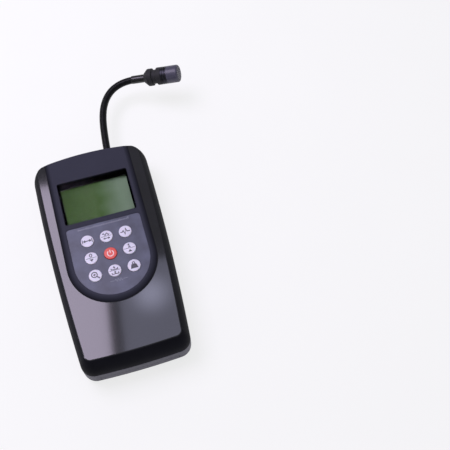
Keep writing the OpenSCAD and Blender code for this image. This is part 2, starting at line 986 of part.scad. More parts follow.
module neck_link(i) {
    color("dimgray")
        at_joint(i)
            difference() {
                union() {
                    translate([0, 0, -socket_lap])
                        cylinder(r = neck_r, h = link_l - shoulder + socket_lap);
                    ball_end(link_l);
                }
                ball_socket();
                cylinder(r = bore_r, h = 2 * link_l);
            }
}

module neck_link_1() { neck_link(0); }

module neck_link_2() { neck_link(1); }

module neck_link_3() { neck_link(2); }

module neck_link_4() { neck_link(3); }

module neck_link_5() { neck_link(4); }

module neck_link_6() { neck_link(5); }

module neck_link_7() { neck_link(6); }

module neck_link_8() { neck_link(7); }

module neck_link_9() { neck_link(8); }

// Last piece of the neck, which carries the microphone
module mic_stem() {
    color("dimgray")
        at_joint(9)
            difference() {
                translate([0, 0, -socket_lap])
                    cylinder(r = neck_r, h = boot_end - slip + socket_lap);
                ball_socket();
                cylinder(r = bore_r, h = 2 * boot_end);
            }
}

module sleeve() {
    color("black")
        at_joint(9)
            translate([0, 0, sleeve_s])
                tube(sleeve_r, neck_r + slip, sleeve_l);
}

// Rubber boot: a cone, a flange, a waist and a collar that meets the barrel
module mic_boot() {
    flange_s = boot_s + boot_l * 0.22;
    waist_s = boot_s + boot_l * 0.47;
    collar_s = boot_s + boot_l * 0.74;
    color("black")
        at_joint(9)
            rotate_extrude()
                polygon([
                    [sleeve_r + slip, boot_s], [sleeve_r + boot_lip, boot_s],
                    [mic_r - boot_shoulder[0], flange_s - boot_shoulder[1]],
                    [mic_r, flange_s], [mic_r, waist_s - boot_bevel],
                    [mic_r - boot_bevel, waist_s], [waist_r, waist_s], [waist_r, collar_s],
                    [mic_r - boot_bevel, collar_s], [mic_r, collar_s + boot_bevel], [mic_r, boot_end],
                    [neck_r + slip, boot_end], [neck_r + slip, sleeve_s + sleeve_l + gap],
                    [sleeve_r + slip, sleeve_s + sleeve_l + gap]
                ]);
}

// Barrel with two turned rings and a spigot for the cap
module mic_barrel() {
    ring_w = barrel_l * 0.16;
    color("dimgray")
        at_joint(9)
            difference() {
                union() {
                    translate([0, 0, boot_end])
                        cylinder(r = mic_r, h = barrel_l);
                    translate([0, 0, boot_end])
                        cylinder(r = mic_r - cap_wall - slip, h = barrel_l + spigot_l);
                }
                for (k = [0.3, 0.66])
                    translate([0, 0, boot_end + barrel_l * k])
                        tube(mic_r + over, mic_r - ring_deep, ring_w);
                translate([0, 0, boot_end + barrel_floor])
                    cylinder(r = capsule_r + slip, h = barrel_l + spigot_l);
                translate([0, 0, boot_end - over])
                    cylinder(r = bore_r, h = 3 * over);
            }
}

module mic_capsule() {
    color("silver")
        at_joint(9)
            translate([0, 0, boot_end + barrel_floor + gap])
                cylinder(r = capsule_r, h = barrel_l + spigot_l - barrel_floor);
}

module mic_foam() {
    s = boot_end + barrel_l + spigot_l + 2 * gap;
    color("darkslategray")
        at_joint(9)
            translate([0, 0, s])
                cylinder(r = mic_r - cap_wall - foam_room, h = cap_end - cap_wall - gap - s);
}

// Cap with a rounded end and rings of sound holes
module mic_cap() {
    color("slategray")
        at_joint(9)
            difference() {
                rotate_extrude()
                    polygon(concat(
                        [[0, barrel_end + slip], [mic_r, barrel_end + slip]],
                        [for (i = [0:5]) let (a = i * 18)
                            [mic_r - cap_soft * (1 - cos(a)), cap_end - cap_soft * (1 - sin(a))]],
                        [[0, cap_end]]
                    ));
                translate([0, 0, barrel_end - over])
                    cylinder(r = mic_r - cap_wall, h = cap_l + over - cap_soft);
                translate([0, 0, barrel_end])
                    cylinder(r = mic_r - cap_wall - cap_step, h = cap_l - cap_wall);
                translate([0, 0, cap_end - 2 * over])
                    cylinder(r = hole_r, h = 3 * over);
                for (k = [1:3], i = [0:6 * k - 1])
                    rotate([0, 0, i * 60 / k])
                        translate([hole_pitch * k, 0, cap_end - 2 * over])
                            cylinder(r = hole_r, h = 3 * over);
            }
}

front_shell();
rear_shell();
case_screws();
battery_cover();
cells();
cell_springs();
cell_caps();
display_lens();
display_frame();
display_glass();
light_guide();
contact_strips();
main_board();
board_screws();
controller_chip();
amplifier_chips();
board_socket();
lead();
key_sheet();
key_top_left();
key_top_mid();
key_top_right();
key_mid_left();
key_power();
key_mid_right();
key_low_left();
key_low_mid();
key_low_right();
dome_top_left();
dome_top_mid();
dome_top_right();
dome_mid_left();
dome_power();
dome_mid_right();
dome_low_left();
dome_low_mid();
dome_low_right();
neck_bush();
bush_nut();
neck_link_1();
neck_link_2();
neck_link_3();
neck_link_4();
neck_link_5();
neck_link_6();
neck_link_7();
neck_link_8();
neck_link_9();
mic_stem();
sleeve();
mic_boot();
mic_barrel();
mic_capsule();
mic_foam();
mic_cap();
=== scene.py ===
import json
import math
import bmesh
import bpy
from mathutils import Matrix, Vector


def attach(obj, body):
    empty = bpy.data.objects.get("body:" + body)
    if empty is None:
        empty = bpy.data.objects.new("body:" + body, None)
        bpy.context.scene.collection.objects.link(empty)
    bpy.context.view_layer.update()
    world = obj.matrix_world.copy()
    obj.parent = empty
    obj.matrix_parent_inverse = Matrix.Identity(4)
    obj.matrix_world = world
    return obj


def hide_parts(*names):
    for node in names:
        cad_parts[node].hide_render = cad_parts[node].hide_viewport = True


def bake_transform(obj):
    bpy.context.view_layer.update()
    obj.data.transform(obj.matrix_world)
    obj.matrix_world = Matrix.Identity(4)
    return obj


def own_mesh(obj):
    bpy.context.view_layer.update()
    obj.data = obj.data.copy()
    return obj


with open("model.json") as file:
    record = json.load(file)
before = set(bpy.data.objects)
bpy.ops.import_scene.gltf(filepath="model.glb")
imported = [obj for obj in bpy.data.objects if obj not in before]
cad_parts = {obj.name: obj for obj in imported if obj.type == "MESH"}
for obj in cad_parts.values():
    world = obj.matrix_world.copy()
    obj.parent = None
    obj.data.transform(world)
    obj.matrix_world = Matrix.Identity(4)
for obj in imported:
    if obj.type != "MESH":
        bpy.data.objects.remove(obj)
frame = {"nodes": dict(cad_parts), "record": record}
scene = bpy.context.scene
nodes = frame["nodes"]
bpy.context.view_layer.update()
mm = 0.001

# Camera: at the photograph's angle, from in front of the lower end and well above the meter
camera = {
    "place": (12.28, -171.95, 368.96),
    "right": (0.9579, -0.2872, 0.0),
    "up": (0.2563, 0.8550, 0.4508),
    "forward": (0.1295, 0.4318, -0.8926),
    "lens": 57.68,  # mm
    "sensor": 36,  # mm wide
    "nearest": 0.01,  # m
}
lensData = bpy.data.cameras.new("photoCamera")
lensData.sensor_width = camera["sensor"]
lensData.lens = camera["lens"]
lensData.clip_start = camera["nearest"]
photoCamera = bpy.data.objects.new("photoCamera", lensData)
turn = Matrix((camera["right"], camera["up"], -Vector(camera["forward"]))).transposed()
photoCamera.matrix_world = Matrix.Translation(Vector(camera["place"]) * mm) @ turn.to_4x4()
scene.collection.objects.link(photoCamera)
scene.camera = photoCamera
scene.view_settings.view_transform = "Standard"
print("camera placed")


# Colours and nodes
def linear(code):  # sRGB hex to linear colour
    parts = [int(code[i:i + 2], 16) / 255 for i in (1, 3, 5)]
    return [p / 12.92 if p <= 0.04045 else ((p + 0.055) / 1.055) ** 2.4 for p in parts] + [1.0]


def addNode(tree, kind, settings=None, values=None, links=None, stops=(), to=None):
    node = tree.nodes.new("ShaderNode" + kind)
    for name, value in (settings or {}).items():
        setattr(node, name, value)
    for socket, value in (values or {}).items():
        node.inputs[socket].default_value = value
    for socket, source in (links or {}).items():
        tree.links.new(source, node.inputs[socket])
    for i, (spot, code) in enumerate(stops):  # colours along a ramp
        element = node.color_ramp.elements[i] if i < 2 else node.color_ramp.elements.new(spot)
        element.position, element.color = spot, linear(code)
    if to is not None:
        tree.links.new(node.outputs[0], to)
    return node


def startFinish(name, **sockets):
    finish = bpy.data.materials.new(name)
    finish.use_nodes = True
    tree = finish.node_tree
    shader = tree.nodes["Principled BSDF"]
    for socket, value in sockets.items():
        shader.inputs[socket.replace("_", " ")].default_value = value
    place = addNode(tree, "TexCoord").outputs["Object"]
    return finish, tree, shader, place


def perSize(size):  # texture scale for a feature of this size in mm, on coordinates in metres
    return 1000 / size


def perLine(spacing):  # wave texture scale for lines this many mm apart; it turns 20 radians per unit
    return perSize(spacing) * 2 * math.pi / 20


finishes = {}
smoothStep = {"interpolation_type": "SMOOTHSTEP"}

# ABS, moulded: the flat of the front is polished and mirrors the room, while the raised panel and the leaning
# sides are spark-eroded and mirror little; the sides stay dark and the raised panel is painted paler, a
# painted sheen
frontShell = {"side": "#0b0b10", "panel": "#3b3c47", "mottle": 16, "mottleShare": 0.2, "paintedSheenShare": 0.8,
              "grain": 0.4, "faceZ": 25.2, "panelZ": 26.6,
              "polishRise": (-0.3, -0.05), "polishFall": (0.05, 0.25),  # mm from faceZ
              "sheenFrom": 0.1, "sheenTo": -0.05}  # mm from faceZ and from panelZ
faceZ, panelZ = frontShell["faceZ"], frontShell["panelZ"]
plastic, tree, shader, place = startFinish("absPolishedAndSparkEroded", IOR=1.54, Specular_IOR_Level=0.02,
                                           Coat_IOR=1.54, Coat_Roughness=0.07)
height = addNode(tree, "SeparateXYZ", links={0: place}).outputs["Z"]
below = addNode(tree, "MapRange", smoothStep,
                {"From Min": (faceZ + frontShell["polishRise"][0]) * mm,
                 "From Max": (faceZ + frontShell["polishRise"][1]) * mm}, {"Value": height})
above = addNode(tree, "MapRange", smoothStep,
                {"From Min": (faceZ + frontShell["polishFall"][0]) * mm,
                 "From Max": (faceZ + frontShell["polishFall"][1]) * mm,
                 "To Min": 1.0, "To Max": 0.0}, {"Value": height})
polished = addNode(tree, "Math", {"operation": "MULTIPLY"},
                   links={0: below.outputs[0], 1: above.outputs[0]}).outputs[0]
tree.links.new(polished, shader.inputs["Coat Weight"])
mottle = addNode(tree, "TexNoise", values={"Scale": perSize(frontShell["mottle"]), "Detail": 3},
                 links={"Vector": place}).outputs[0]
# painted sheen: the colour grows paler with height, from the face up to the top of the raised panel
raised = addNode(tree, "MapRange", values={"From Min": (faceZ + frontShell["sheenFrom"]) * mm,
                 "From Max": (panelZ + frontShell["sheenTo"]) * mm, "To Max": frontShell["paintedSheenShare"]},
                 links={"Value": height}).outputs[0]
sheenAndMottle = addNode(tree, "Math", {"operation": "MULTIPLY_ADD"}, {1: frontShell["mottleShare"]},
                 {0: mottle, 2: raised}).outputs[0]
addNode(tree, "ValToRGB", links={"Fac": sheenAndMottle}, to=shader.inputs["Base Color"],
        stops=[(0.0, frontShell["side"]), (1.0, frontShell["panel"])])
# spark grain is about 0.1 mm; drawn at 0.4 mm so that it shows
grain = addNode(tree, "TexNoise", values={"Scale": perSize(frontShell["grain"]), "Detail": 2},
                links={"Vector": place}).outputs[0]
addNode(tree, "MapRange", values={"To Min": 0.44, "To Max": 0.58}, links={"Value": grain},
        to=shader.inputs["Roughness"])
addNode(tree, "Bump", values={"Distance": 0.03 * mm}, links={"Height": grain}, to=shader.inputs["Normal"])
finishes["front_plastic"] = plastic

# ABS, moulded with a spark-eroded grain: an even, soft dark grey
rearShell = {"dark": "#43414f", "light": "#4e4c5b", "mottle": 12, "grain": 0.5}
plastic, tree, shader, place = startFinish("absSparkEroded", IOR=1.54, Specular_IOR_Level=0.3)
mottle = addNode(tree, "TexNoise", values={"Scale": perSize(rearShell["mottle"]), "Detail": 4},
                 links={"Vector": place}).outputs[0]
addNode(tree, "ValToRGB", links={"Fac": mottle}, to=shader.inputs["Base Color"],
        stops=[(0.3, rearShell["dark"]), (0.7, rearShell["light"])])
grain = addNode(tree, "TexNoise", values={"Scale": perSize(rearShell["grain"]), "Detail": 2},
                links={"Vector": place}).outputs[0]
addNode(tree, "MapRange", values={"To Min": 0.42, "To Max": 0.56}, links={"Value": grain},
        to=shader.inputs["Roughness"])
addNode(tree, "Bump", values={"Distance": 0.04 * mm}, links={"Height": grain}, to=shader.inputs["Normal"])
finishes["rear_plastic"] = plastic

# Steel, nickel plated: bright and slightly warm, with fine drawing lines and dull spots
platedSteel = {"dull": "#a39f97", "bright": "#c9c6bf", "line": 0.35, "spot": 2.5}
steel, tree, shader, place = startFinish("steelNickelPlated", Metallic=1.0)
lines = addNode(tree, "Mapping", values={"Scale": (1, 0.12, 1)}, links={"Vector": place}).outputs[0]
drawn = addNode(tree, "TexNoise", values={"Scale": perSize(platedSteel["line"]), "Detail": 2},
                links={"Vector": lines}).outputs[0]
spots = addNode(tree, "TexNoise", values={"Scale": perSize(platedSteel["spot"]), "Detail": 4},
                links={"Vector": place}).outputs[0]
addNode(tree, "ValToRGB", links={"Fac": spots}, to=shader.inputs["Base Color"],
        stops=[(0.35, platedSteel["dull"]), (0.65, platedSteel["bright"])])
addNode(tree, "MapRange", values={"To Min": 0.2, "To Max": 0.38}, links={"Value": drawn},
        to=shader.inputs["Roughness"])
addNode(tree, "Bump", values={"Distance": 0.01 * mm}, links={"Height": drawn}, to=shader.inputs["Normal"])
finishes["plated_steel"] = steel

# PVC shrink wrap, printed: a smooth dark sleeve with a copper band at one end of the cell
cellWrap = {"dark": "#1d2026", "band": "#a8683c", "line": "#c8c8c4", "bandY": -14.0, "reach": 2,
            "scuff": 1.8}
wrap, tree, shader, place = startFinish("pvcShrinkWrapPrinted", IOR=1.53, Coat_Weight=0.3)
along = addNode(tree, "SeparateXYZ", links={0: place}).outputs["Y"]
reach = addNode(tree, "MapRange", values={"From Min": (cellWrap["bandY"] - cellWrap["reach"]) * mm,
                "From Max": (cellWrap["bandY"] + cellWrap["reach"]) * mm}, links={"Value": along}).outputs[0]
addNode(tree, "ValToRGB", links={"Fac": reach}, to=shader.inputs["Base Color"],
        stops=[(0.40, cellWrap["dark"]), (0.42, cellWrap["line"]), (0.52, cellWrap["line"]),
               (0.54, cellWrap["band"])])
scuffs = addNode(tree, "TexNoise", values={"Scale": perSize(cellWrap["scuff"]), "Detail": 5},
                 links={"Vector": place}).outputs[0]
addNode(tree, "MapRange", values={"To Min": 0.22, "To Max": 0.42}, links={"Value": scuffs},
        to=shader.inputs["Roughness"])
finishes["cell_wrap"] = wrap

# Acrylic, cast and coated against glare: clear and faintly uneven; the coating takes nearly all of its
# reflection, so its IOR is set well below the 1.49 of bare acrylic
lens = {"tint": "#eef3ee", "ripple": 6.0}
acrylic, tree, shader, place = startFinish("acrylicCoated", IOR=1.08, Transmission_Weight=1.0,
                                           Base_Color=linear(lens["tint"]))
ripple = addNode(tree, "TexNoise", values={"Scale": perSize(lens["ripple"]), "Detail": 1},
                 links={"Vector": place}).outputs[0]
addNode(tree, "MapRange", values={"To Min": 0.01, "To Max": 0.06}, links={"Value": ripple},
        to=shader.inputs["Roughness"])
finishes["clear_window"] = acrylic

# Polycarbonate, moulded: a dull, even black for the frame round the display
innerBlack = {"dark": "#0d0d0f", "light": "#17171a", "grain": 0.5}
pc, tree, shader, place = startFinish("polycarbonateMoulded", IOR=1.58)
grain = addNode(tree, "TexNoise", values={"Scale": perSize(innerBlack["grain"]), "Detail": 3},
                links={"Vector": place}).outputs[0]
addNode(tree, "ValToRGB", links={"Fac": grain}, to=shader.inputs["Base Color"],
        stops=[(0.35, innerBlack["dark"]), (0.7, innerBlack["light"])])
addNode(tree, "MapRange", values={"To Min": 0.45, "To Max": 0.6}, links={"Value": grain},
        to=shader.inputs["Roughness"])
addNode(tree, "Bump", values={"Distance": 0.02 * mm}, links={"Height": grain}, to=shader.inputs["Normal"])
finishes["black_plastic"] = pc

# Display glass with polariser film: green, painted paler and greyer to the right as a painted reflection,
# with the fine grid of its cells
display = {"left": "#3a5a1d", "middle": "#4f6a38", "right": "#84967f", "halfWidth": 19.0, "cell": 0.62,
           "cloud": 11, "drift": 0.12}
glass, tree, shader, place = startFinish("displayGlassPolarised", IOR=1.52, Roughness=0.35,
                                          Specular_IOR_Level=0.06)
across = addNode(tree, "SeparateXYZ", links={0: place})
# painted reflection: the green grows paler and greyer from left to right across the display
paintedReflectionSweep = addNode(tree, "MapRange", values={"From Min": -display["halfWidth"] * mm,
                "From Max": display["halfWidth"] * mm}, links={"Value": across.outputs["X"]}).outputs[0]
cloud = addNode(tree, "TexNoise", values={"Scale": perSize(display["cloud"]), "Detail": 2},
                links={"Vector": place}).outputs[0]
drift = addNode(tree, "MapRange", values={"To Min": -display["drift"], "To Max": display["drift"]},
                links={"Value": cloud}).outputs[0]
reflectionAndCloud = addNode(tree, "Math", {"operation": "ADD"}, links={0: paintedReflectionSweep, 1: drift}).outputs[0]
green = addNode(tree, "ValToRGB", links={"Fac": reflectionAndCloud},
                stops=[(0.1, display["left"]), (0.5, display["middle"]), (0.85, display["right"])]).outputs[0]
cells = addNode(tree, "TexBrick", {"offset": 0.0},
                {"Scale": perSize(display["cell"]), "Mortar Size": 0.04, "Brick Width": 1.0,
                 "Row Height": 1.0, "Color1": (1, 1, 1, 1), "Color2": (1, 1, 1, 1),
                 "Mortar": (0.86, 0.86, 0.86, 1)}, {"Vector": place}).outputs[0]
gridded = addNode(tree, "Mix", {"data_type": "RGBA", "blend_type": "MULTIPLY"}, {0: 1.0},
                  {6: green, 7: cells})
tree.links.new(gridded.outputs[2], shader.inputs["Base Color"])
finishes["display"] = glass

# Acrylic, milky: a pale green glow for the light guide behind the display
lightGuide = {"deep": "#c3d6bb", "pale": "#d5e3cd", "cloud": 4}
guide, tree, shader, place = startFinish("acrylicMilky", IOR=1.49, Subsurface_Weight=0.3,
                                         Subsurface_Scale=0.002)
cloud = addNode(tree, "TexNoise", values={"Scale": perSize(lightGuide["cloud"]), "Detail": 3},
                links={"Vector": place}).outputs[0]
addNode(tree, "ValToRGB", links={"Fac": cloud}, to=shader.inputs["Base Color"],
        stops=[(0.3, lightGuide["deep"]), (0.7, lightGuide["pale"])])
addNode(tree, "MapRange", values={"To Min": 0.25, "To Max": 0.4}, links={"Value": cloud},
        to=shader.inputs["Roughness"])
finishes["light_guide"] = guide

# Silicone, layered: salmon strip with thin black conducting layers, about 0.1 mm each, drawn coarser to show
zebra = {"pale": "#d59c90", "dark": "#2a2526", "layer": 0.4}
rubber, tree, shader, place = startFinish("siliconeLayered", IOR=1.43, Roughness=0.6)
layers = addNode(tree, "TexWave", {"bands_direction": "X"},
                 {"Scale": perLine(zebra["layer"]), "Distortion": 0.3}, {"Vector": place}).outputs[1]
addNode(tree, "ValToRGB", links={"Fac": layers}, to=shader.inputs["Base Color"],
        stops=[(0.45, zebra["pale"]), (0.6, zebra["dark"])])
finishes["contact_rubber"] = rubber

# Glass-epoxy board under green solder mask: tracks show as paler green lines
board = {"mask": "#0c4a26", "track": "#1c6a3a", "pitch": 2.4, "weave": 0.5}
laminate, tree, shader, place = startFinish("glassEpoxySolderMasked", IOR=1.55, Coat_Weight=0.4)
tracks = addNode(tree, "TexBrick", {"offset": 0.35, "squash": 0.7},
                 {"Scale": perSize(board["pitch"]), "Mortar Size": 0.07, "Brick Width": 3.0,
                  "Row Height": 0.8}, {"Vector": place})
addNode(tree, "ValToRGB", links={"Fac": tracks.outputs["Fac"]}, to=shader.inputs["Base Color"],
        stops=[(0.3, board["mask"]), (0.7, board["track"])])
weave = addNode(tree, "TexNoise", values={"Scale": perSize(board["weave"]), "Detail": 2},
                links={"Vector": place}).outputs[0]
addNode(tree, "MapRange", values={"To Min": 0.25, "To Max": 0.4}, links={"Value": weave},
        to=shader.inputs["Roughness"])
addNode(tree, "Bump", values={"Distance": 0.03 * mm}, links={"Height": tracks.outputs["Fac"]},
        to=shader.inputs["Normal"])
finishes["circuit_board"] = laminate

# Epoxy, transfer moulded: matt black with a gritty skin
chips = {"dark": "#1a1a1c", "light": "#29292c", "grit": 0.3}
epoxy, tree, shader, place = startFinish("epoxyMoulded", IOR=1.55)
grit = addNode(tree, "TexNoise", values={"Scale": perSize(chips["grit"]), "Detail": 3},
               links={"Vector": place}).outputs[0]
addNode(tree, "ValToRGB", links={"Fac": grit}, to=shader.inputs["Base Color"],
        stops=[(0.3, chips["dark"]), (0.7, chips["light"])])
addNode(tree, "MapRange", values={"To Min": 0.55, "To Max": 0.75}, links={"Value": grit},
        to=shader.inputs["Roughness"])
addNode(tree, "Bump", values={"Distance": 0.02 * mm}, links={"Height": grit}, to=shader.inputs["Normal"])
finishes["chip_plastic"] = epoxy

# Nylon, moulded: ivory, faintly cloudy
socketIvory = {"deep": "#d8d2bd", "pale": "#e6e1d0", "cloud": 2}
nylon, tree, shader, place = startFinish("nylonMoulded", IOR=1.53, Subsurface_Weight=0.15,
                                         Subsurface_Scale=0.001)
cloud = addNode(tree, "TexNoise", values={"Scale": perSize(socketIvory["cloud"]), "Detail": 3},
                links={"Vector": place}).outputs[0]
addNode(tree, "ValToRGB", links={"Fac": cloud}, to=shader.inputs["Base Color"],
        stops=[(0.3, socketIvory["deep"]), (0.7, socketIvory["pale"])])
addNode(tree, "MapRange", values={"To Min": 0.35, "To Max": 0.5}, links={"Value": cloud},
        to=shader.inputs["Roughness"])
finishes["socket_plastic"] = nylon

# Rubber, moulded: matt black, with dusty patches at random
bootRubber = {"dark": "#1a1a1d", "dust": "#29292c", "grain": 0.45}
rubber, tree, shader, place = startFinish("rubberMoulded", IOR=1.52, Specular_IOR_Level=0.3,
                                          Sheen_Weight=0.02)
grain = addNode(tree, "TexNoise", values={"Scale": perSize(bootRubber["grain"]), "Detail": 4},
                links={"Vector": place}).outputs[0]
addNode(tree, "ValToRGB", links={"Fac": grain}, to=shader.inputs["Base Color"],
        stops=[(0.35, bootRubber["dark"]), (0.75, bootRubber["dust"])])
addNode(tree, "MapRange", values={"To Min": 0.55, "To Max": 0.75}, links={"Value": grain},
        to=shader.inputs["Roughness"])
addNode(tree, "Bump", values={"Distance": 0.03 * mm}, links={"Height": grain}, to=shader.inputs["Normal"])
finishes["black_rubber"] = rubber

# Polyester film, screen printed slate on the back: fine embossed texture, soft gloss
keyFilm = {"deep": "#363a4c", "pale": "#52576c", "cloud": 9.0, "texture": 0.3}
film, tree, shader, place = startFinish("polyesterScreenPrinted", IOR=1.6, Specular_IOR_Level=0.35)
cloud = addNode(tree, "TexNoise", values={"Scale": perSize(keyFilm["cloud"]), "Detail": 3},
                links={"Vector": place}).outputs[0]
addNode(tree, "ValToRGB", links={"Fac": cloud}, to=shader.inputs["Base Color"],
        stops=[(0.3, keyFilm["deep"]), (0.7, keyFilm["pale"])])
pebble = addNode(tree, "TexVoronoi", values={"Scale": perSize(keyFilm["texture"])},
                 links={"Vector": place}).outputs[0]
addNode(tree, "MapRange", values={"To Min": 0.36, "To Max": 0.48}, links={"Value": cloud},
        to=shader.inputs["Roughness"])
addNode(tree, "Bump", values={"Distance": 0.012 * mm}, links={"Height": pebble}, to=shader.inputs["Normal"])
finishes["key_sheet"] = film

# ABS, moulded pale: key caps with a satin top
paleKey = {"deep": "#cccad9", "pale": "#dad8e6", "cloud": 3.5, "grain": 0.35}
plastic, tree, shader, place = startFinish("absPaleSatin", IOR=1.54, Subsurface_Weight=0.05,
                                           Subsurface_Scale=0.001)
cloud = addNode(tree, "TexNoise", values={"Scale": perSize(paleKey["cloud"]), "Detail": 3},
                links={"Vector": place}).outputs[0]
addNode(tree, "ValToRGB", links={"Fac": cloud}, to=shader.inputs["Base Color"],
        stops=[(0.3, paleKey["deep"]), (0.7, paleKey["pale"])])
grain = addNode(tree, "TexNoise", values={"Scale": perSize(paleKey["grain"]), "Detail": 2},
                links={"Vector": place}).outputs[0]
addNode(tree, "MapRange", values={"To Min": 0.34, "To Max": 0.46}, links={"Value": grain},
        to=shader.inputs["Roughness"])
addNode(tree, "Bump", values={"Distance": 0.008 * mm}, links={"Height": grain}, to=shader.inputs["Normal"])
finishes["pale_key"] = plastic

# ABS, moulded red: an even satin red for the key in the middle
redKey = {"deep": "#d4402f", "pale": "#e04e42", "cloud": 3.5, "grain": 0.35}
plastic, tree, shader, place = startFinish("absRedSatin", IOR=1.54)
cloud = addNode(tree, "TexNoise", values={"Scale": perSize(redKey["cloud"]), "Detail": 3},
                links={"Vector": place}).outputs[0]
addNode(tree, "ValToRGB", links={"Fac": cloud}, to=shader.inputs["Base Color"],
        stops=[(0.3, redKey["deep"]), (0.7, redKey["pale"])])
grain = addNode(tree, "TexNoise", values={"Scale": perSize(redKey["grain"]), "Detail": 2},
                links={"Vector": place}).outputs[0]
addNode(tree, "MapRange", values={"To Min": 0.36, "To Max": 0.48}, links={"Value": grain},
        to=shader.inputs["Roughness"])
addNode(tree, "Bump", values={"Distance": 0.008 * mm}, links={"Height": grain}, to=shader.inputs["Normal"])
finishes["red_key"] = plastic

# Ink, pad printed: dark on the pale keys, pale on the red one and on the sheet, with uneven cover
inks = {"inkDark": ("#4a4a55", "#33333c"), "inkPale": ("#e8c4c0", "#f3dedb"),
        "inkSilver": ("#8d909d", "#b4b7c3"), "inkGrey": ("#6c707d", "#7d818e")}
inkPatch = 0.5
for inkName, (thin, full) in inks.items():
    ink, tree, shader, place = startFinish(inkName + "PadPrinted", IOR=1.5)
    cover = addNode(tree, "TexNoise", values={"Scale": perSize(inkPatch), "Detail": 4},
                    links={"Vector": place}).outputs[0]
    addNode(tree, "ValToRGB", links={"Fac": cover}, to=shader.inputs["Base Color"],
            stops=[(0.35, thin), (0.65, full)])
    addNode(tree, "MapRange", values={"To Min": 0.4, "To Max": 0.6}, links={"Value": cover},
            to=shader.inputs["Roughness"])
    finishes[inkName] = ink

# Silicone, moulded: milky domes under the keys
domeMilk = {"deep": "#b9bcbf", "pale": "#cccfd1", "cloud": 1.2}
silicone, tree, shader, place = startFinish("siliconeMoulded", IOR=1.43, Subsurface_Weight=0.3,
                                            Subsurface_Scale=0.001)
cloud = addNode(tree, "TexNoise", values={"Scale": perSize(domeMilk["cloud"]), "Detail": 3},
                links={"Vector": place}).outputs[0]
addNode(tree, "ValToRGB", links={"Fac": cloud}, to=shader.inputs["Base Color"],
        stops=[(0.3, domeMilk["deep"]), (0.7, domeMilk["pale"])])
addNode(tree, "MapRange", values={"To Min": 0.45, "To Max": 0.6}, links={"Value": cloud},
        to=shader.inputs["Roughness"])
finishes["dome_rubber"] = silicone

# Steel, turned and blacked: fine lathe lines round the bush, about 0.1 mm apart, drawn coarser to show
blackSteel = {"dark": "#0f0f11", "worn": "#26262a", "wear": 1.6, "line": 0.3}
steel, tree, shader, place = startFinish("steelBlacked", Metallic=0.6)
wear = addNode(tree, "TexNoise", values={"Scale": perSize(blackSteel["wear"]), "Detail": 4},
               links={"Vector": place}).outputs[0]
addNode(tree, "ValToRGB", links={"Fac": wear}, to=shader.inputs["Base Color"],
        stops=[(0.4, blackSteel["dark"]), (0.75, blackSteel["worn"])])
turned = addNode(tree, "TexWave", {"bands_direction": "Y"},
                 {"Scale": perLine(blackSteel["line"]), "Distortion": 0.6}, {"Vector": place}).outputs[1]
addNode(tree, "MapRange", values={"To Min": 0.32, "To Max": 0.5}, links={"Value": turned},
        to=shader.inputs["Roughness"])
addNode(tree, "Bump", values={"Distance": 0.01 * mm}, links={"Height": turned}, to=shader.inputs["Normal"])
finishes["black_steel"] = steel

# PVC, extruded over a wound tube: satin black skin, slightly uneven
neckSkin = {"dark": "#08080a", "light": "#101013", "cloud": 3.0}
pvc, tree, shader, place = startFinish("pvcExtruded", IOR=1.53, Specular_IOR_Level=0.12)
cloud = addNode(tree, "TexNoise", values={"Scale": perSize(neckSkin["cloud"]), "Detail": 4},
                links={"Vector": place}).outputs[0]
addNode(tree, "ValToRGB", links={"Fac": cloud}, to=shader.inputs["Base Color"],
        stops=[(0.35, neckSkin["dark"]), (0.7, neckSkin["light"])])
addNode(tree, "MapRange", values={"To Min": 0.3, "To Max": 0.46}, links={"Value": cloud},
        to=shader.inputs["Roughness"])
addNode(tree, "Bump", values={"Distance": 0.02 * mm}, links={"Height": cloud}, to=shader.inputs["Normal"])
finishes["neckSkin"] = pvc

# Polyolefin, shrunk: glossy black sleeve with faint drawn waves
sleeveBlack = {"dark": "#08080a", "light": "#111113", "waves": 1.4}
shrunk, tree, shader, place = startFinish("polyolefinShrunk", IOR=1.5, Specular_IOR_Level=0.5)
wavy = addNode(tree, "TexNoise", values={"Scale": perSize(sleeveBlack["waves"]), "Detail": 2},
               links={"Vector": place}).outputs[0]
addNode(tree, "ValToRGB", links={"Fac": wavy}, to=shader.inputs["Base Color"],
        stops=[(0.35, sleeveBlack["dark"]), (0.7, sleeveBlack["light"])])
addNode(tree, "MapRange", values={"To Min": 0.2, "To Max": 0.3}, links={"Value": wavy},
        to=shader.inputs["Roughness"])
addNode(tree, "Bump", values={"Distance": 0.015 * mm}, links={"Height": wavy}, to=shader.inputs["Normal"])
finishes["sleeve_plastic"] = shrunk

# Aluminium, turned and anodised black: soft metallic sheen with fine lathe lines, also drawn coarser
barrelBlack = {"dark": "#2a2a2f", "light": "#3a3a41", "bloom": 2.2, "line": 0.3}
aluminium, tree, shader, place = startFinish("aluminiumAnodisedBlack", Metallic=1.0)
bloom = addNode(tree, "TexNoise", values={"Scale": perSize(barrelBlack["bloom"]), "Detail": 3},
                links={"Vector": place}).outputs[0]
addNode(tree, "ValToRGB", links={"Fac": bloom}, to=shader.inputs["Base Color"],
        stops=[(0.3, barrelBlack["dark"]), (0.7, barrelBlack["light"])])
barrelWay = addNode(tree, "VectorMath", {"operation": "DOT_PRODUCT"}, links={0: place})
fromStart = addNode(tree, "CombineXYZ", links={"X": barrelWay.outputs["Value"]}).outputs[0]
turned = addNode(tree, "TexWave", {"bands_direction": "X"},
                 {"Scale": perLine(barrelBlack["line"]), "Distortion": 0.4}, {"Vector": fromStart}).outputs[1]
addNode(tree, "MapRange", values={"To Min": 0.3, "To Max": 0.46}, links={"Value": turned},
        to=shader.inputs["Roughness"])
addNode(tree, "Bump", values={"Distance": 0.004 * mm}, links={"Height": turned}, to=shader.inputs["Normal"])
finishes["black_aluminium"] = aluminium

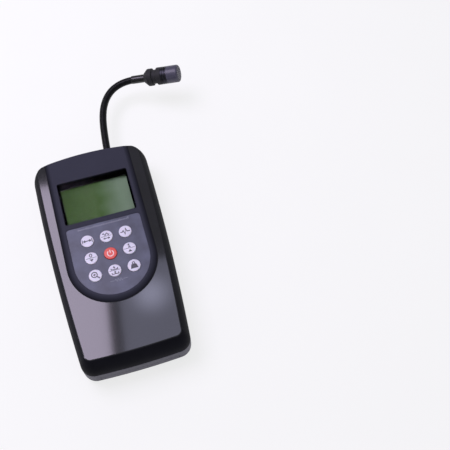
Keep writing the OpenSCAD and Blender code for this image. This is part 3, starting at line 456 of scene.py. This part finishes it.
# Nickel, drawn: warm dull metal with soft blooms for the microphone capsule
capsule = {"dull": "#9c978d", "bright": "#bdb8ae", "bloom": 0.8}
nickel, tree, shader, place = startFinish("nickelDrawn", Metallic=1.0)
bloom = addNode(tree, "TexNoise", values={"Scale": perSize(capsule["bloom"]), "Detail": 3},
                links={"Vector": place}).outputs[0]
addNode(tree, "ValToRGB", links={"Fac": bloom}, to=shader.inputs["Base Color"],
        stops=[(0.3, capsule["dull"]), (0.7, capsule["bright"])])
addNode(tree, "MapRange", values={"To Min": 0.25, "To Max": 0.4}, links={"Value": bloom},
        to=shader.inputs["Roughness"])
finishes["capsule_metal"] = nickel

# Polyurethane foam, open cell: dark and pitted, with painted shade darkest in the middle of each pore
foamPad = {"deep": "#060607", "rim": "#1b1b1e", "pore": 0.35}
foam, tree, shader, place = startFinish("foamOpenCell", IOR=1.45, Roughness=0.95)
poreShadeAndDepth = addNode(tree, "TexVoronoi", values={"Scale": perSize(foamPad["pore"])},
                links={"Vector": place}).outputs[0]
# painted shade: each pore is painted darkest in its middle, where its pit is deepest
addNode(tree, "ValToRGB", links={"Fac": poreShadeAndDepth}, to=shader.inputs["Base Color"],
        stops=[(0.2, foamPad["deep"]), (0.6, foamPad["rim"])])
addNode(tree, "Bump", values={"Distance": 0.15 * mm}, links={"Height": poreShadeAndDepth}, to=shader.inputs["Normal"])
finishes["foam"] = foam

# Zinc, die cast and lacquered grey: satin with a faint violet cast
capGrey = {"deep": "#383647", "pale": "#444254", "peel": 0.7}
zinc, tree, shader, place = startFinish("zincLacquered", Metallic=0.0, IOR=1.5, Coat_Weight=0.1)
peel = addNode(tree, "TexNoise", values={"Scale": perSize(capGrey["peel"]), "Detail": 2},
               links={"Vector": place}).outputs[0]
addNode(tree, "ValToRGB", links={"Fac": peel}, to=shader.inputs["Base Color"],
        stops=[(0.3, capGrey["deep"]), (0.7, capGrey["pale"])])
addNode(tree, "MapRange", values={"To Min": 0.38, "To Max": 0.5}, links={"Value": peel},
        to=shader.inputs["Roughness"])
addNode(tree, "Bump", values={"Distance": 0.006 * mm}, links={"Height": peel}, to=shader.inputs["Normal"])
finishes["grey_cap"] = zinc
print("finishes made:", len(finishes))


# CAD nodes: each takes the finish of its slot, with even shading and crisp creases
creases = {"front_shell": 11, "rear_shell": 11, "battery_cover": 11, "mic_cap": 24}  # degrees
otherCrease, weldReach = 30, 0.002
for row in frame["record"]["subparts"]:
    node = nodes[row["node"]]
    node.data.materials.clear()
    node.data.materials.append(finishes[row["material_slot"]])
    for polygon in node.data.polygons:
        polygon.use_smooth = True
    weld = node.modifiers.new("weld", "WELD")
    weld.merge_threshold = weldReach * mm
    split = node.modifiers.new("crease", "EDGE_SPLIT")
    split.split_angle = math.radians(creases.get(row["node"], otherCrease))
    node.modifiers.new("evenNormals", "WEIGHTED_NORMAL")


# Mesh helpers
def showMesh(name, mesh, finish):
    mesh.materials.append(finishes[finish])
    piece = bpy.data.objects.new(name, mesh)
    scene.collection.objects.link(piece)
    return piece


def addPiece(name, points, faces, finish, smooth=True):  # points in mm
    mesh = bpy.data.meshes.new(name)
    mesh.from_pydata([Vector(p) * mm for p in points], [], faces)
    work = bmesh.new()
    work.from_mesh(mesh)
    bmesh.ops.recalc_face_normals(work, faces=work.faces)
    work.to_mesh(mesh)
    work.free()
    for polygon in mesh.polygons:
        polygon.use_smooth = smooth
    return showMesh(name, mesh, finish)


def soften(profile, radius, steps=4, share=0.45):  # rounds every inner corner of a profile
    result = [profile[0]]
    for before, here, after in zip(profile, profile[1:], profile[2:]):
        a, b, c = Vector(before), Vector(here), Vector(after)
        reach = min(radius, (a - b).length * share, (c - b).length * share)
        p = b + (a - b).normalized() * reach
        q = b + (c - b).normalized() * reach
        for i in range(steps + 1):
            t = i / steps
            result.append(tuple(p.lerp(b, t).lerp(b.lerp(q, t), t)))
    return result + [profile[-1]]


def lathe(name, profile, start, axis, finish, steps=48, loop=False):  # profile: (radius, distance)
    axis = Vector(axis).normalized()
    side = axis.orthogonal().normalized()
    other = axis.cross(side)
    points, rings = [], []
    for radius, along in profile:
        middle = Vector(start) + axis * along
        if radius < 1e-4:  # on the axis
            rings.append([len(points)])
            points.append(middle)
            continue
        rings.append(list(range(len(points), len(points) + steps)))
        for k in range(steps):
            a = 2 * math.pi * k / steps
            points.append(middle + side * radius * math.cos(a) + other * radius * math.sin(a))
    faces = []
    for low, high in zip(rings, rings[1:] + (rings[:1] if loop else [])):  # a loop closes along its bore
        for k in range(steps):
            corner = [low[k % len(low)], low[(k + 1) % len(low)], high[(k + 1) % len(high)],
                      high[k % len(high)]]
            faces.append(list(dict.fromkeys(corner)))
    piece = addPiece(name, points, faces, finish)
    for polygon in piece.data.polygons[-steps:] if loop else []:
        polygon.use_smooth = False
    piece.modifiers.new("evenNormals", "WEIGHTED_NORMAL")
    return piece


# Keys: a crowned cap with a soft edge over the flange and stem
keys = {"radius": 3.4, "pitch": 10.2, "middleY": -5.0, "top": 27.0, "crown": 0.09, "edge": 0.32,
        "flangeLow": 23.3, "flangeHigh": 23.9, "flangeRadius": 4.1, "stemLow": 20.0, "stemRadius": 1.5,
        "soft": 0.12, "softSteps": 3, "edgeSteps": 6, "topRings": 6}
keyGrid = {"top_left": (-1, 1), "top_mid": (0, 1), "top_right": (1, 1),
           "mid_left": (-1, 0), "power": (0, 0), "mid_right": (1, 0),
           "low_left": (-1, -1), "low_mid": (0, -1), "low_right": (1, -1)}
keyPlaces = {name: (column * keys["pitch"], keys["middleY"] + row * keys["pitch"])
             for name, (column, row) in keyGrid.items()}


def crownHeight(distance):  # height of the key top at a distance from its middle
    return keys["top"] - keys["crown"] * (distance / keys["radius"]) ** 2


for keyName, (x, y) in keyPlaces.items():
    rim = keys["radius"] - keys["edge"]
    body = soften([(0, keys["stemLow"]), (keys["stemRadius"], keys["stemLow"]),
                   (keys["stemRadius"], keys["flangeLow"]), (keys["flangeRadius"], keys["flangeLow"]),
                   (keys["flangeRadius"], keys["flangeHigh"]), (keys["radius"], keys["flangeHigh"])],
                  keys["soft"], keys["softSteps"])
    shoulder = [(keys["radius"], crownHeight(rim) - keys["edge"])]
    for i in range(1, keys["edgeSteps"] + 1):
        a = math.radians(90 * i / keys["edgeSteps"])
        shoulder.append((rim + keys["edge"] * math.cos(a),
                         crownHeight(rim) - keys["edge"] * (1 - math.sin(a))))
    inward = [rim * k / keys["topRings"] for k in range(keys["topRings"] - 1, -1, -1)]
    top = [(distance, crownHeight(distance)) for distance in inward]
    slot = "red_key" if keyName == "power" else "pale_key"
    cap = lathe("keycap_" + keyName, body + shoulder + top, (x, y, 0), (0, 0, 1), slot)
    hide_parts("key_" + keyName)
    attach(cap, "key_" + keyName)
print("keys made:", len(keyPlaces))

# Domes: rubber springs under the keys, hollow in the middle
domes = {"base": 17.8, "footRadius": 4.2, "foot": 0.4, "skirtRadius": 3.0, "skirt": 0.5,
         "roof": 1.3, "roofRadius": 1.2, "noseRadius": 1.8, "noseLow": 1.6, "taper": 0.1,
         "height": 2.1, "pressed": 1.65, "soft": 0.1, "softSteps": 3, "around": 32}
for keyName, (x, y) in keyPlaces.items():
    hollow = [(0, domes["roof"]), (domes["roofRadius"], domes["roof"]),
              (domes["skirtRadius"] - domes["skirt"], 0)]
    foot = [(domes["footRadius"], 0), (domes["footRadius"], domes["foot"]),
            (domes["skirtRadius"], domes["foot"])]
    nose = [(domes["noseRadius"], domes["noseLow"]), (domes["noseRadius"] - domes["taper"], domes["height"]),
            (0, domes["height"])]
    place = Vector((x, y, domes["base"]))
    profile = soften(hollow + foot + nose, domes["soft"], domes["softSteps"])
    dome = lathe("rubber_dome_" + keyName, profile, place, (0, 0, 1), "dome_rubber", domes["around"])
    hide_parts("dome_" + keyName)
    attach(dome, "housing")
    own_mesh(dome)
print("domes made:", len(keyPlaces))


# Signs on the keys: strokes and filled shapes in mm from the middle of each key
def stroke(line, width, closed=False, sharpest=0.4):  # sharpest limits how far a corner juts out
    count = len(line)
    spots = [Vector(p) for p in line]
    sides = []
    for i, here in enumerate(spots):
        before = spots[i - 1] if i or closed else None
        after = spots[(i + 1) % count] if i < count - 1 or closed else None
        ahead = (after - here).normalized() if after is not None else (here - before).normalized()
        behind = (here - before).normalized() if before is not None else ahead
        across = Vector((-(ahead + behind).y, (ahead + behind).x)).normalized()
        mitre = width / 2 / max(sharpest, across.dot(Vector((-ahead.y, ahead.x))))
        sides.append((here + across * mitre, here - across * mitre))
    pairs = list(zip(sides, sides[1:])) + ([(sides[-1], sides[0])] if closed else [])
    return [[a[0], a[1], b[1], b[0]] for a, b in pairs]


def ringLine(x, y, radiusX, radiusY, start=0, end=360, steps=28):
    count = steps if end - start == 360 else steps + 1
    return [(x + radiusX * math.cos(math.radians(start + (end - start) * i / steps)),
             y + radiusY * math.sin(math.radians(start + (end - start) * i / steps))) for i in range(count)]


def arrowHead(x, y, dx, dy, length, width):  # filled triangle with its tip at x, y
    way = Vector((dx, dy)).normalized()
    flat = Vector((-way.y, way.x))
    foot = Vector((x, y)) - way * length
    return [Vector((x, y)), foot + flat * width / 2, foot - flat * width / 2]


signs = {"line": 0.5, "fine": 0.42, "divider": 0.26, "lift": 0.012, "join": 0.001,
         "mesh": 0.5, "halvings": 4}
thick, fine = signs["line"], signs["fine"]
divider = stroke([(-2.75, 0), (2.75, 0)], signs["divider"])
wave = [(-1.75 + 3.5 * i / 28, 1.2 + 0.6 * math.sin(i / 28 * 4 * math.pi)) for i in range(29)]
pulse = [(-2.6, -0.2), (-1.5, -0.2), (-0.95, 0.6), (-0.25, -1.6), (0.45, 1.7), (1.0, -0.2), (2.6, -0.2)]
signShapes = {
    "top_left": stroke([(-1.4, 0), (1.4, 0)], thick) + [arrowHead(-2.3, 0, -1, 0, 1.2, 1.8),
                arrowHead(2.3, 0, 1, 0, 1.2, 1.8)] + stroke([(-2.55, -1.15), (-2.55, 1.15)], fine)
                + stroke([(2.55, -1.15), (2.55, 1.15)], fine),
    "top_mid": divider + stroke(wave, fine) + stroke([(-1.0, -1.25), (1.0, -1.25)], fine)
               + [arrowHead(-1.95, -1.25, -1, 0, 1.1, 1.3), arrowHead(1.95, -1.25, 1, 0, 1.1, 1.3)],
    "top_right": stroke(pulse, thick),
    "mid_left": divider + stroke(ringLine(0, 1.5, 0.62, 0.9), fine, True)
                + [arrowHead(0, -2.1, 0, -1, 1.4, 2.1)],
    "power": stroke(ringLine(0, -0.15, 1.6, 1.6, 125, 415), thick) + stroke([(0, 0.1), (0, 1.9)], thick),
    "mid_right": divider + stroke([(-0.6, 1.85), (0.05, 2.35), (0.05, 0.6)], fine)
                 + stroke([(-0.6, 0.6), (0.7, 0.6)], fine) + [arrowHead(0, -0.7, 0, 1, 1.4, 2.1)],
    "low_left": stroke(ringLine(-0.4, 0.4, 1.45, 1.45), thick, True) + stroke([(0.7, -0.7), (2.0, -2.0)], 0.6)
                + stroke([(-1.1, 0.4), (0.3, 0.4)], fine) + stroke([(-0.4, -0.3), (-0.4, 1.1)], fine),
    "low_mid": divider + stroke([(-1.7, 1.35), (-1.7, 0.55), (1.7, 0.55), (1.7, 1.35)], fine)
               + [arrowHead(0, 0.95, 0, -1, 0.85, 1.4)] + stroke([(0, 1.7), (0, 2.4)], fine)
               + stroke([(-1.7, -1.25), (-1.7, -2.05), (1.7, -2.05), (1.7, -1.25)], fine)
               + [arrowHead(0, -0.4, 0, 1, 0.85, 1.4)] + stroke([(0, -1.15), (0, -1.75)], fine),
    "low_right": [[Vector((-1.25, 0.7)), Vector((-2.0, -1.7)), Vector((2.0, -1.7)), Vector((1.25, 0.7))]]
                 + stroke(ringLine(0, 1.3, 0.62, 0.62), fine, True),
}


def addSign(name, shapes, middle, heightAt, finish):  # flat shapes laid on a curved top
    work = bmesh.new()
    for shape in shapes:
        area = sum(a[0] * b[1] - b[0] * a[1] for a, b in zip(shape, shape[1:] + shape[:1]))
        work.faces.new([work.verts.new((p[0], p[1], 0)) for p in (shape if area > 0 else shape[::-1])])
    bmesh.ops.remove_doubles(work, verts=work.verts[:], dist=signs["join"])
    for _ in range(signs["halvings"]):  # a long edge would cut through the curved top
        long = [e for e in work.edges if e.calc_length() > signs["mesh"]]
        bmesh.ops.subdivide_edges(work, edges=long, cuts=1, use_grid_fill=True)
    bmesh.ops.triangulate(work, faces=work.faces[:])
    for spot in work.verts:
        x, y = spot.co.xy
        spot.co = Vector((middle[0] + x, middle[1] + y, heightAt(math.hypot(x, y)) + signs["lift"])) * mm
    mesh = bpy.data.meshes.new(name)
    work.to_mesh(mesh)
    work.free()
    sign = showMesh(name, mesh, finish)
    ink = sign.modifiers.new("inkFilm", "SOLIDIFY")  # the ink goes down to the surface under it
    ink.thickness = signs["lift"] * mm
    ink.offset = -1
    return sign


for keyName, shapes in signShapes.items():
    sign = addSign("sign_" + keyName, shapes, keyPlaces[keyName], crownHeight,
                   "inkPale" if keyName == "power" else "inkDark")
    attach(sign, "key_" + keyName)
print("signs made:", len(signShapes))

# Key sheet print: a fine pale scale under its top edge and a plain wave mark low on it
sheet = {"top": 26.35, "scaleY": 12.4, "scaleLeft": -13.5, "scaleStep": 0.9, "ticks": 31, "tickLine": 0.2,
         "tick": 0.75, "longTick": 1.25, "longEach": 5, "markPlace": (1.0, -20.6), "markLine": 0.3}
ticks = []
for k in range(sheet["ticks"]):
    x = sheet["scaleLeft"] + sheet["scaleStep"] * k
    tall = sheet["tick"] if k % sheet["longEach"] else sheet["longTick"]
    ticks += stroke([(x, sheet["scaleY"]), (x, sheet["scaleY"] + tall)], sheet["tickLine"])
scalePrint = addSign("sheet_scale", ticks, (0, 0), lambda distance: sheet["top"], "inkSilver")
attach(scalePrint, "housing")
threeWaves = [(-2 + 4 * i / 36, 0.7 * math.sin(i / 36 * 6 * math.pi)) for i in range(37)]
mark = []
for line in ([(-4.6, 0), (-2.4, 0)], [(2.4, 0), (4.6, 0)], threeWaves):
    mark += stroke(line, sheet["markLine"])
waveMark = addSign("sheet_mark", mark, sheet["markPlace"], lambda distance: sheet["top"], "inkGrey")
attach(waveMark, "housing")
print("key sheet printed")

# Neck: a continuous ribbed skin in ten curved lengths, one over each joint, each from the middle of a link
# to the middle of the next
neck = {"radius": 2.13, "rib": 0.06, "ribs": 7, "ringsPerRib": 8, "around": 36, "dish": 0.3,
        "linkLength": 6.5, "start": (12.0, 66.03, 13.0), "inBush": 1.9,
        "headings": [0, 4, 5.5, 6.5, 10.5, 17, 27.5, 44.5, 69, 92.5, 108.5],  # degrees
        "rises": [0, 0, 0, 0, 0, 0, 0, 3.75, 7.5, 11.25, 15]}
neckBodies = ["housing"] + ["neck_%d" % i for i in range(1, 10)] + ["mic_head"]


def linkWay(i):  # direction of the neck before joint i
    a, b = math.radians(neck["headings"][i]), math.radians(neck["rises"][i])
    return Vector((math.sin(a) * math.cos(b), math.cos(a) * math.cos(b), math.sin(b)))


joint = Vector(neck["start"])
half = neck["linkLength"] / 2
around = neck["around"]
for j in range(len(neckBodies) - 1):
    before, after = linkWay(j), linkWay(j + 1)
    entry = neck["inBush"] if j == 0 else half
    first, last = joint - before * entry, joint + after * half
    points, faces = [], []
    rings = neck["ribs"] * neck["ringsPerRib"] + 1
    for i in range(rings):
        t = i / (rings - 1)
        middle = first.lerp(joint, t).lerp(joint.lerp(last, t), t)  # leaves each link straight
        ahead = before.lerp(after, t).normalized()
        across = Vector((ahead.y, -ahead.x, 0)).normalized()
        upward = across.cross(ahead)
        radius = neck["radius"] - neck["rib"] * (0.5 + 0.5 * math.cos(2 * math.pi * neck["ribs"] * t))
        for k in range(around):
            a = 2 * math.pi * k / around
            points.append(middle + across * radius * math.cos(a) + upward * radius * math.sin(a))
    for i in range(rings - 1):
        for k in range(around):
            n = (k + 1) % around
            faces.append([i * around + k, i * around + n, (i + 1) * around + n, (i + 1) * around + k])
    for ring, hub in ((0, first + before * neck["dish"]), (rings - 1, last - after * neck["dish"])):
        for k in range(around):  # each end closes in a shallow dish
            faces.append([ring * around + k, ring * around + (k + 1) % around, len(points)])
        points.append(hub)
    skin = addPiece("neck_skin_%d" % (j + 1), points, faces, "neckSkin")
    for polygon in skin.data.polygons[-2 * around:]:
        polygon.use_smooth = False
    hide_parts("neck_link_%d" % (j + 1) if j < 9 else "mic_stem")
    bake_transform(skin)
    lastJoint = joint.copy()
    joint = joint + after * neck["linkLength"]
print("neck skin made, last joint at", [round(c, 2) for c in lastJoint])

# Microphone head: sleeve, boot and barrel turned on the axis that leaves the last joint; distances from there
headWay = linkWay(10)
sleeveForm = {"start": 0.9, "length": 9.5, "radius": 2.5, "bore": 2.2, "thin": 0.06, "swell": 0.006,
              "swellTurn": 1.7, "rings": 12, "margin": 0.5, "insets": (0.1, 0.05), "soft": 0.2}
s0, s1 = sleeveForm["start"], sleeveForm["start"] + sleeveForm["length"]
mouth, bore = sleeveForm["radius"], sleeveForm["bore"]
outer = []
for k in range(sleeveForm["rings"] + 1):
    swell = sleeveForm["swell"] * math.sin(k * sleeveForm["swellTurn"])
    reach = (s1 - s0 - 2 * sleeveForm["margin"]) * k / sleeveForm["rings"]
    outer.append((mouth - sleeveForm["thin"] + swell, s0 + sleeveForm["margin"] + reach))
front = [(bore, s0), (mouth - sleeveForm["insets"][0], s0)]
back = [(mouth - sleeveForm["insets"][1], s1), (bore, s1)]
sleeve = lathe("neck_sleeve", soften(front + outer + back, sleeveForm["soft"]), lastJoint, headWay,
               "sleeve_plastic", loop=True)
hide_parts("sleeve")
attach(sleeve, "mic_head")

bootForm = {"start": 9.3, "length": 11.1, "radius": 5.2, "waist": 4.21, "soft": 0.35,
            "flange": 0.22, "dip": 0.47, "collar": 0.74}  # the last three as shares of the length
b0, length, full, waist = bootForm["start"], bootForm["length"], bootForm["radius"], bootForm["waist"]
b1 = b0 + length
flange, dip, collar = [b0 + length * bootForm[name] for name in ("flange", "dip", "collar")]
lip = [(mouth + 0.02, b0 + 0.3), (mouth + 0.1, b0), (mouth + 0.5, b0)]
cone = [(full - 0.75, flange - 0.85), (full, flange - 0.1), (full, dip - 0.1)]
dent = [(full - 0.2, dip + 0.05), (waist, dip + 0.1), (waist, collar - 0.1), (full - 0.2, collar - 0.05)]
end = [(full, collar + 0.1), (full, b1 - 0.02), (full - 0.5, b1), (bore, b1)]
boot = lathe("microphone_boot", soften(lip + cone + dent + end, bootForm["soft"]), lastJoint, headWay,
             "black_rubber", loop=True)
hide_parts("mic_boot")
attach(boot, "mic_head")

barrelForm = {"length": 3.6, "wall": 0.5, "spigot": 2.0, "spigotStart": 1.2, "soft": 0.07, "softSteps": 3,
              "grooves": (0.3, 0.66), "groove": 0.16,  # shares of the length
              "grooveDepth": 0.3, "grooveLean": 0.04}
c1 = b1 + barrelForm["length"]
grooveWidth = barrelForm["length"] * barrelForm["groove"]
floorRadius, lean = full - barrelForm["grooveDepth"], barrelForm["grooveLean"]
inner, innermost = full - barrelForm["wall"], full - 2 * barrelForm["wall"]
turnedProfile = [(inner, b1 + 0.01), (full, b1 + 0.02)]
for share in barrelForm["grooves"]:
    g = b1 + barrelForm["length"] * share
    turnedProfile += [(full, g), (floorRadius, g + lean), (floorRadius, g + grooveWidth - lean),
                      (full, g + grooveWidth)]
turnedProfile += [(full, c1), (inner, c1), (inner, c1 + barrelForm["spigot"]),
                  (innermost, c1 + barrelForm["spigot"]), (innermost, b1 + barrelForm["spigotStart"])]
barrelWay.inputs[1].default_value = headWay  # lathe lines run square to the axis
barrel = lathe("microphone_barrel", soften(turnedProfile, barrelForm["soft"], barrelForm["softSteps"]),
               lastJoint, headWay, "black_aluminium", loop=True)
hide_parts("mic_barrel")
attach(barrel, "mic_head")
print("microphone head made")

# Stage: pale paper floor that the camera sees near white, with the shadow kept
stage = {"size": 30.0, "paper": ("#f0f0f1", "#f3f3f4"), "fibre": 60, "lift": 0.75}
paper, tree, shader, place = startFinish("paperSeamlessMatt", Specular_IOR_Level=0.1, Roughness=0.9)
fibre = addNode(tree, "TexNoise", values={"Scale": perSize(stage["fibre"]), "Detail": 2},
                links={"Vector": place}).outputs[0]
addNode(tree, "ValToRGB", links={"Fac": fibre}, to=shader.inputs["Base Color"],
        stops=[(0.3, stage["paper"][0]), (0.7, stage["paper"][1])])
white = addNode(tree, "Emission", values={"Color": (1, 1, 1, 1), "Strength": 1.0})
path = addNode(tree, "LightPath")
mirrored = addNode(tree, "Math", {"operation": "MAXIMUM"},
                   links={0: path.outputs["Is Glossy Ray"],
                          1: path.outputs["Is Transmission Ray"]}).outputs[0]
anySight = addNode(tree, "Math", {"operation": "MAXIMUM"},
                   links={0: path.outputs["Is Camera Ray"], 1: mirrored}).outputs[0]
seen = addNode(tree, "Math", {"operation": "MULTIPLY"}, {1: stage["lift"]}, {0: anySight})
blend = addNode(tree, "MixShader", links={0: seen.outputs[0], 1: shader.outputs[0], 2: white.outputs[0]})
tree.links.new(blend.outputs[0], tree.nodes["Material Output"].inputs["Surface"])
finishes["paper"] = paper
edge = stage["size"] / 2 / mm
corners = [(-edge, -edge, 0), (edge, -edge, 0), (edge, edge, 0), (-edge, edge, 0)]
floor = addPiece("floor", corners, [[0, 1, 2, 3]], "paper", smooth=False)

# Light: a bright softbox to the left, whose edge shows down the grip, and a weaker one over the right of
# the grip; sizes in m, level is the brightness of the panel, a hot spot is measured from its corner
lamps = {
    "softboxLeft": {"centre": (-0.222, 0.23, 0.625), "size": (0.36, 0.42), "turn": -7, "level": 7.5,
                    "colour": "#efe2fe"},
    "softboxRight": {"centre": (0.092, 0.165, 0.65), "size": (0.25, 0.2), "turn": -7, "level": 2.3,
                     "colour": "#dedeff", "hotSpot": (0.046, 0.148, 0), "hotReach": 0.04, "hotLevel": 2.9},
}
for lampName, lamp in lamps.items():
    light = bpy.data.lights.new(lampName, "AREA")
    light.shape = "RECTANGLE"
    light.size, light.size_y = lamp["size"]
    light.color = linear(lamp["colour"])[:3]
    light.energy = lamp["level"] * math.pi * lamp["size"][0] * lamp["size"][1]
    if "hotSpot" in lamp:  # the lamp behind the cloth shows through it as a brighter patch
        light.use_nodes = True
        tree = light.node_tree
        across = addNode(tree, "NewGeometry").outputs["Parametric"]
        spot = addNode(tree, "VectorMath", {"operation": "MULTIPLY"}, {1: (*lamp["size"], 0)}, {0: across})
        away = addNode(tree, "VectorMath", {"operation": "DISTANCE"}, {1: lamp["hotSpot"]},
                       {0: spot.outputs[0]}).outputs["Value"]
        addNode(tree, "MapRange", smoothStep,
                {"From Max": lamp["hotReach"], "To Min": lamp["hotLevel"], "To Max": 1.0}, {"Value": away},
                to=tree.nodes["Emission"].inputs["Strength"])
    panel = bpy.data.objects.new(lampName, light)
    panel.location = lamp["centre"]
    panel.rotation_euler = (0, 0, math.radians(lamp["turn"]))
    scene.collection.objects.link(panel)

# Room: a pale wall that goes on from the paper, dimmer from some way up; it fades by the sine of elevation
wall = {"paint": "#f2f3f6", "low": 0.92, "high": 0.4, "fadeFrom": 0.1, "fadeTo": 0.35}
room = bpy.data.worlds.new("room")
room.use_nodes = True
tree = room.node_tree
tree.nodes["Background"].inputs["Color"].default_value = linear(wall["paint"])
outward = addNode(tree, "TexCoord").outputs["Generated"]
upward = addNode(tree, "SeparateXYZ", links={0: outward}).outputs["Z"]
addNode(tree, "MapRange", smoothStep,
        {"From Min": wall["fadeFrom"], "From Max": wall["fadeTo"], "To Min": wall["low"],
         "To Max": wall["high"]}, {"Value": upward}, to=tree.nodes["Background"].inputs["Strength"])
scene.world = room
print("stage and light set")

bpy.context.view_layer.update()
